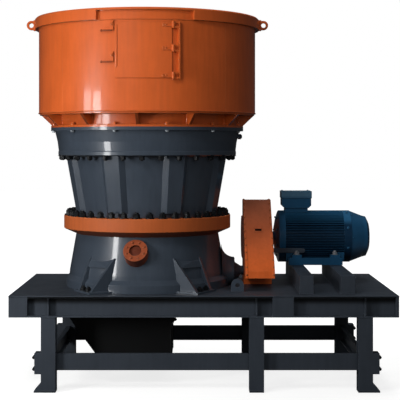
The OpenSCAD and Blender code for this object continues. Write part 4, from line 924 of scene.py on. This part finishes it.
# Light of the surroundings on matt faces, and what shiny ones mirror: dark flags all round,
# apart from the strip lamps
FILL, FLAGS = 0.13, 0.035
world = bpy.data.worlds.new("studio")
bpy.context.scene.world = world
world.use_nodes = True
tree = world.node_tree
tree.nodes.clear()
path = add(tree, "LightPath")
camera_or_glass = combined(tree, "MAXIMUM", path.outputs["Is Camera Ray"],
                           path.outputs["Is Transmission Ray"])
fill = add(tree, "Background", {"Color": linear("#e8ecf2"), "Strength": FILL})
flags = add(tree, "Background", {"Color": linear("#e8ecf2"), "Strength": FLAGS})
white = add(tree, "Background", {"Color": (1, 1, 1, 1), "Strength": 1.0})
lit = add(tree, "MixShader", {"Fac": path.outputs["Is Glossy Ray"], 1: fill.outputs["Background"],
                              2: flags.outputs["Background"]})
both = add(tree, "MixShader", {"Fac": camera_or_glass, 1: lit.outputs["Shader"],
                               2: white.outputs["Background"]})
add(tree, "OutputWorld", {"Surface": both.outputs["Shader"]})

# ---- light ----


def softbox(name, *, bearing, height, distance, size, level, aim, mirrored=False):
    """Area lamp aimed at a point.

    bearing and height are angles in degrees, from the front and from the horizon; level is the
    light that it puts on a face turned to it; mirrored says whether shiny faces show it.
    """
    lamp = bpy.data.lights.new(name, "AREA")
    lamp.shape = "RECTANGLE"
    lamp.size, lamp.size_y = size
    lamp.energy = level * math.pi ** 2 * distance ** 2
    holder = bpy.data.objects.new(name, lamp)
    bpy.context.scene.collection.objects.link(holder)
    side, up = math.radians(bearing), math.radians(height)
    away = Vector((math.sin(side) * math.cos(up), -math.cos(side) * math.cos(up), math.sin(up)))
    holder.location = Vector(aim) + away * distance
    holder.rotation_euler = away.to_track_quat("Z", "Y").to_euler()
    holder.visible_camera = False
    holder.visible_glossy = mirrored


# Two upright strips at the front left draw the narrow highlights.
softbox("strip_near", bearing=-45.2, height=0, distance=6.5, size=(0.90, 2.37), level=0.31,
        aim=(AXIS_X, 0, 2.665), mirrored=True)
softbox("strip_far", bearing=-55.2, height=0, distance=6.5, size=(0.85, 0.62), level=0.05,
        aim=(AXIS_X, 0, 3.59), mirrored=True)
# The others light each side softly, and shiny faces don't show them.
softbox("side", bearing=-46, height=5, distance=6.5, size=(1.0, 2.4), level=0.21,
        aim=(AXIS_X, 0, 2.4))
softbox("front", bearing=-14, height=8, distance=5.6, size=(1.6, 1.6), level=0.09,
        aim=(AXIS_X, 0, 3.9))
softbox("high", bearing=-34, height=36, distance=9.0, size=(1.6, 1.6), level=0.18,
        aim=(1.1, 0, 1.6))
softbox("right", bearing=8, height=14, distance=11, size=(4, 4), level=0.12, aim=(0.6, 0, 1.8))
softbox("over_motor", bearing=160, height=60, distance=8.0, size=(1.6, 1.6), level=0.34,
        aim=(1.2, 0.4, 1.9))
softbox("over_hopper", bearing=0, height=89, distance=5.0, size=(1.0, 1.0), level=0.60,
        aim=(AXIS_X, 0, 3.3))
softbox("back", bearing=178, height=14, distance=11, size=(6, 5), level=0.45, aim=(0, 0, 2.0))

# ---- camera ----

# Level and far off, with the frame shifted down so that upright lines stay upright.
EYE = (-0.0957, -14.78, 2.943)
SENSOR_WIDTH, FOCAL_LENGTH = 36, 102.15
FRAME_SHIFT = (0.0105, -0.1325)
camera = bpy.data.cameras.new("camera")
camera.sensor_width = SENSOR_WIDTH
camera.lens = FOCAL_LENGTH
camera.shift_x, camera.shift_y = FRAME_SHIFT
viewer = bpy.data.objects.new("camera", camera)
viewer.location = EYE
viewer.rotation_euler = (math.radians(90), 0, 0)
bpy.context.scene.collection.objects.link(viewer)
bpy.context.scene.camera = viewer
bpy.context.scene.view_settings.view_transform = "Standard"
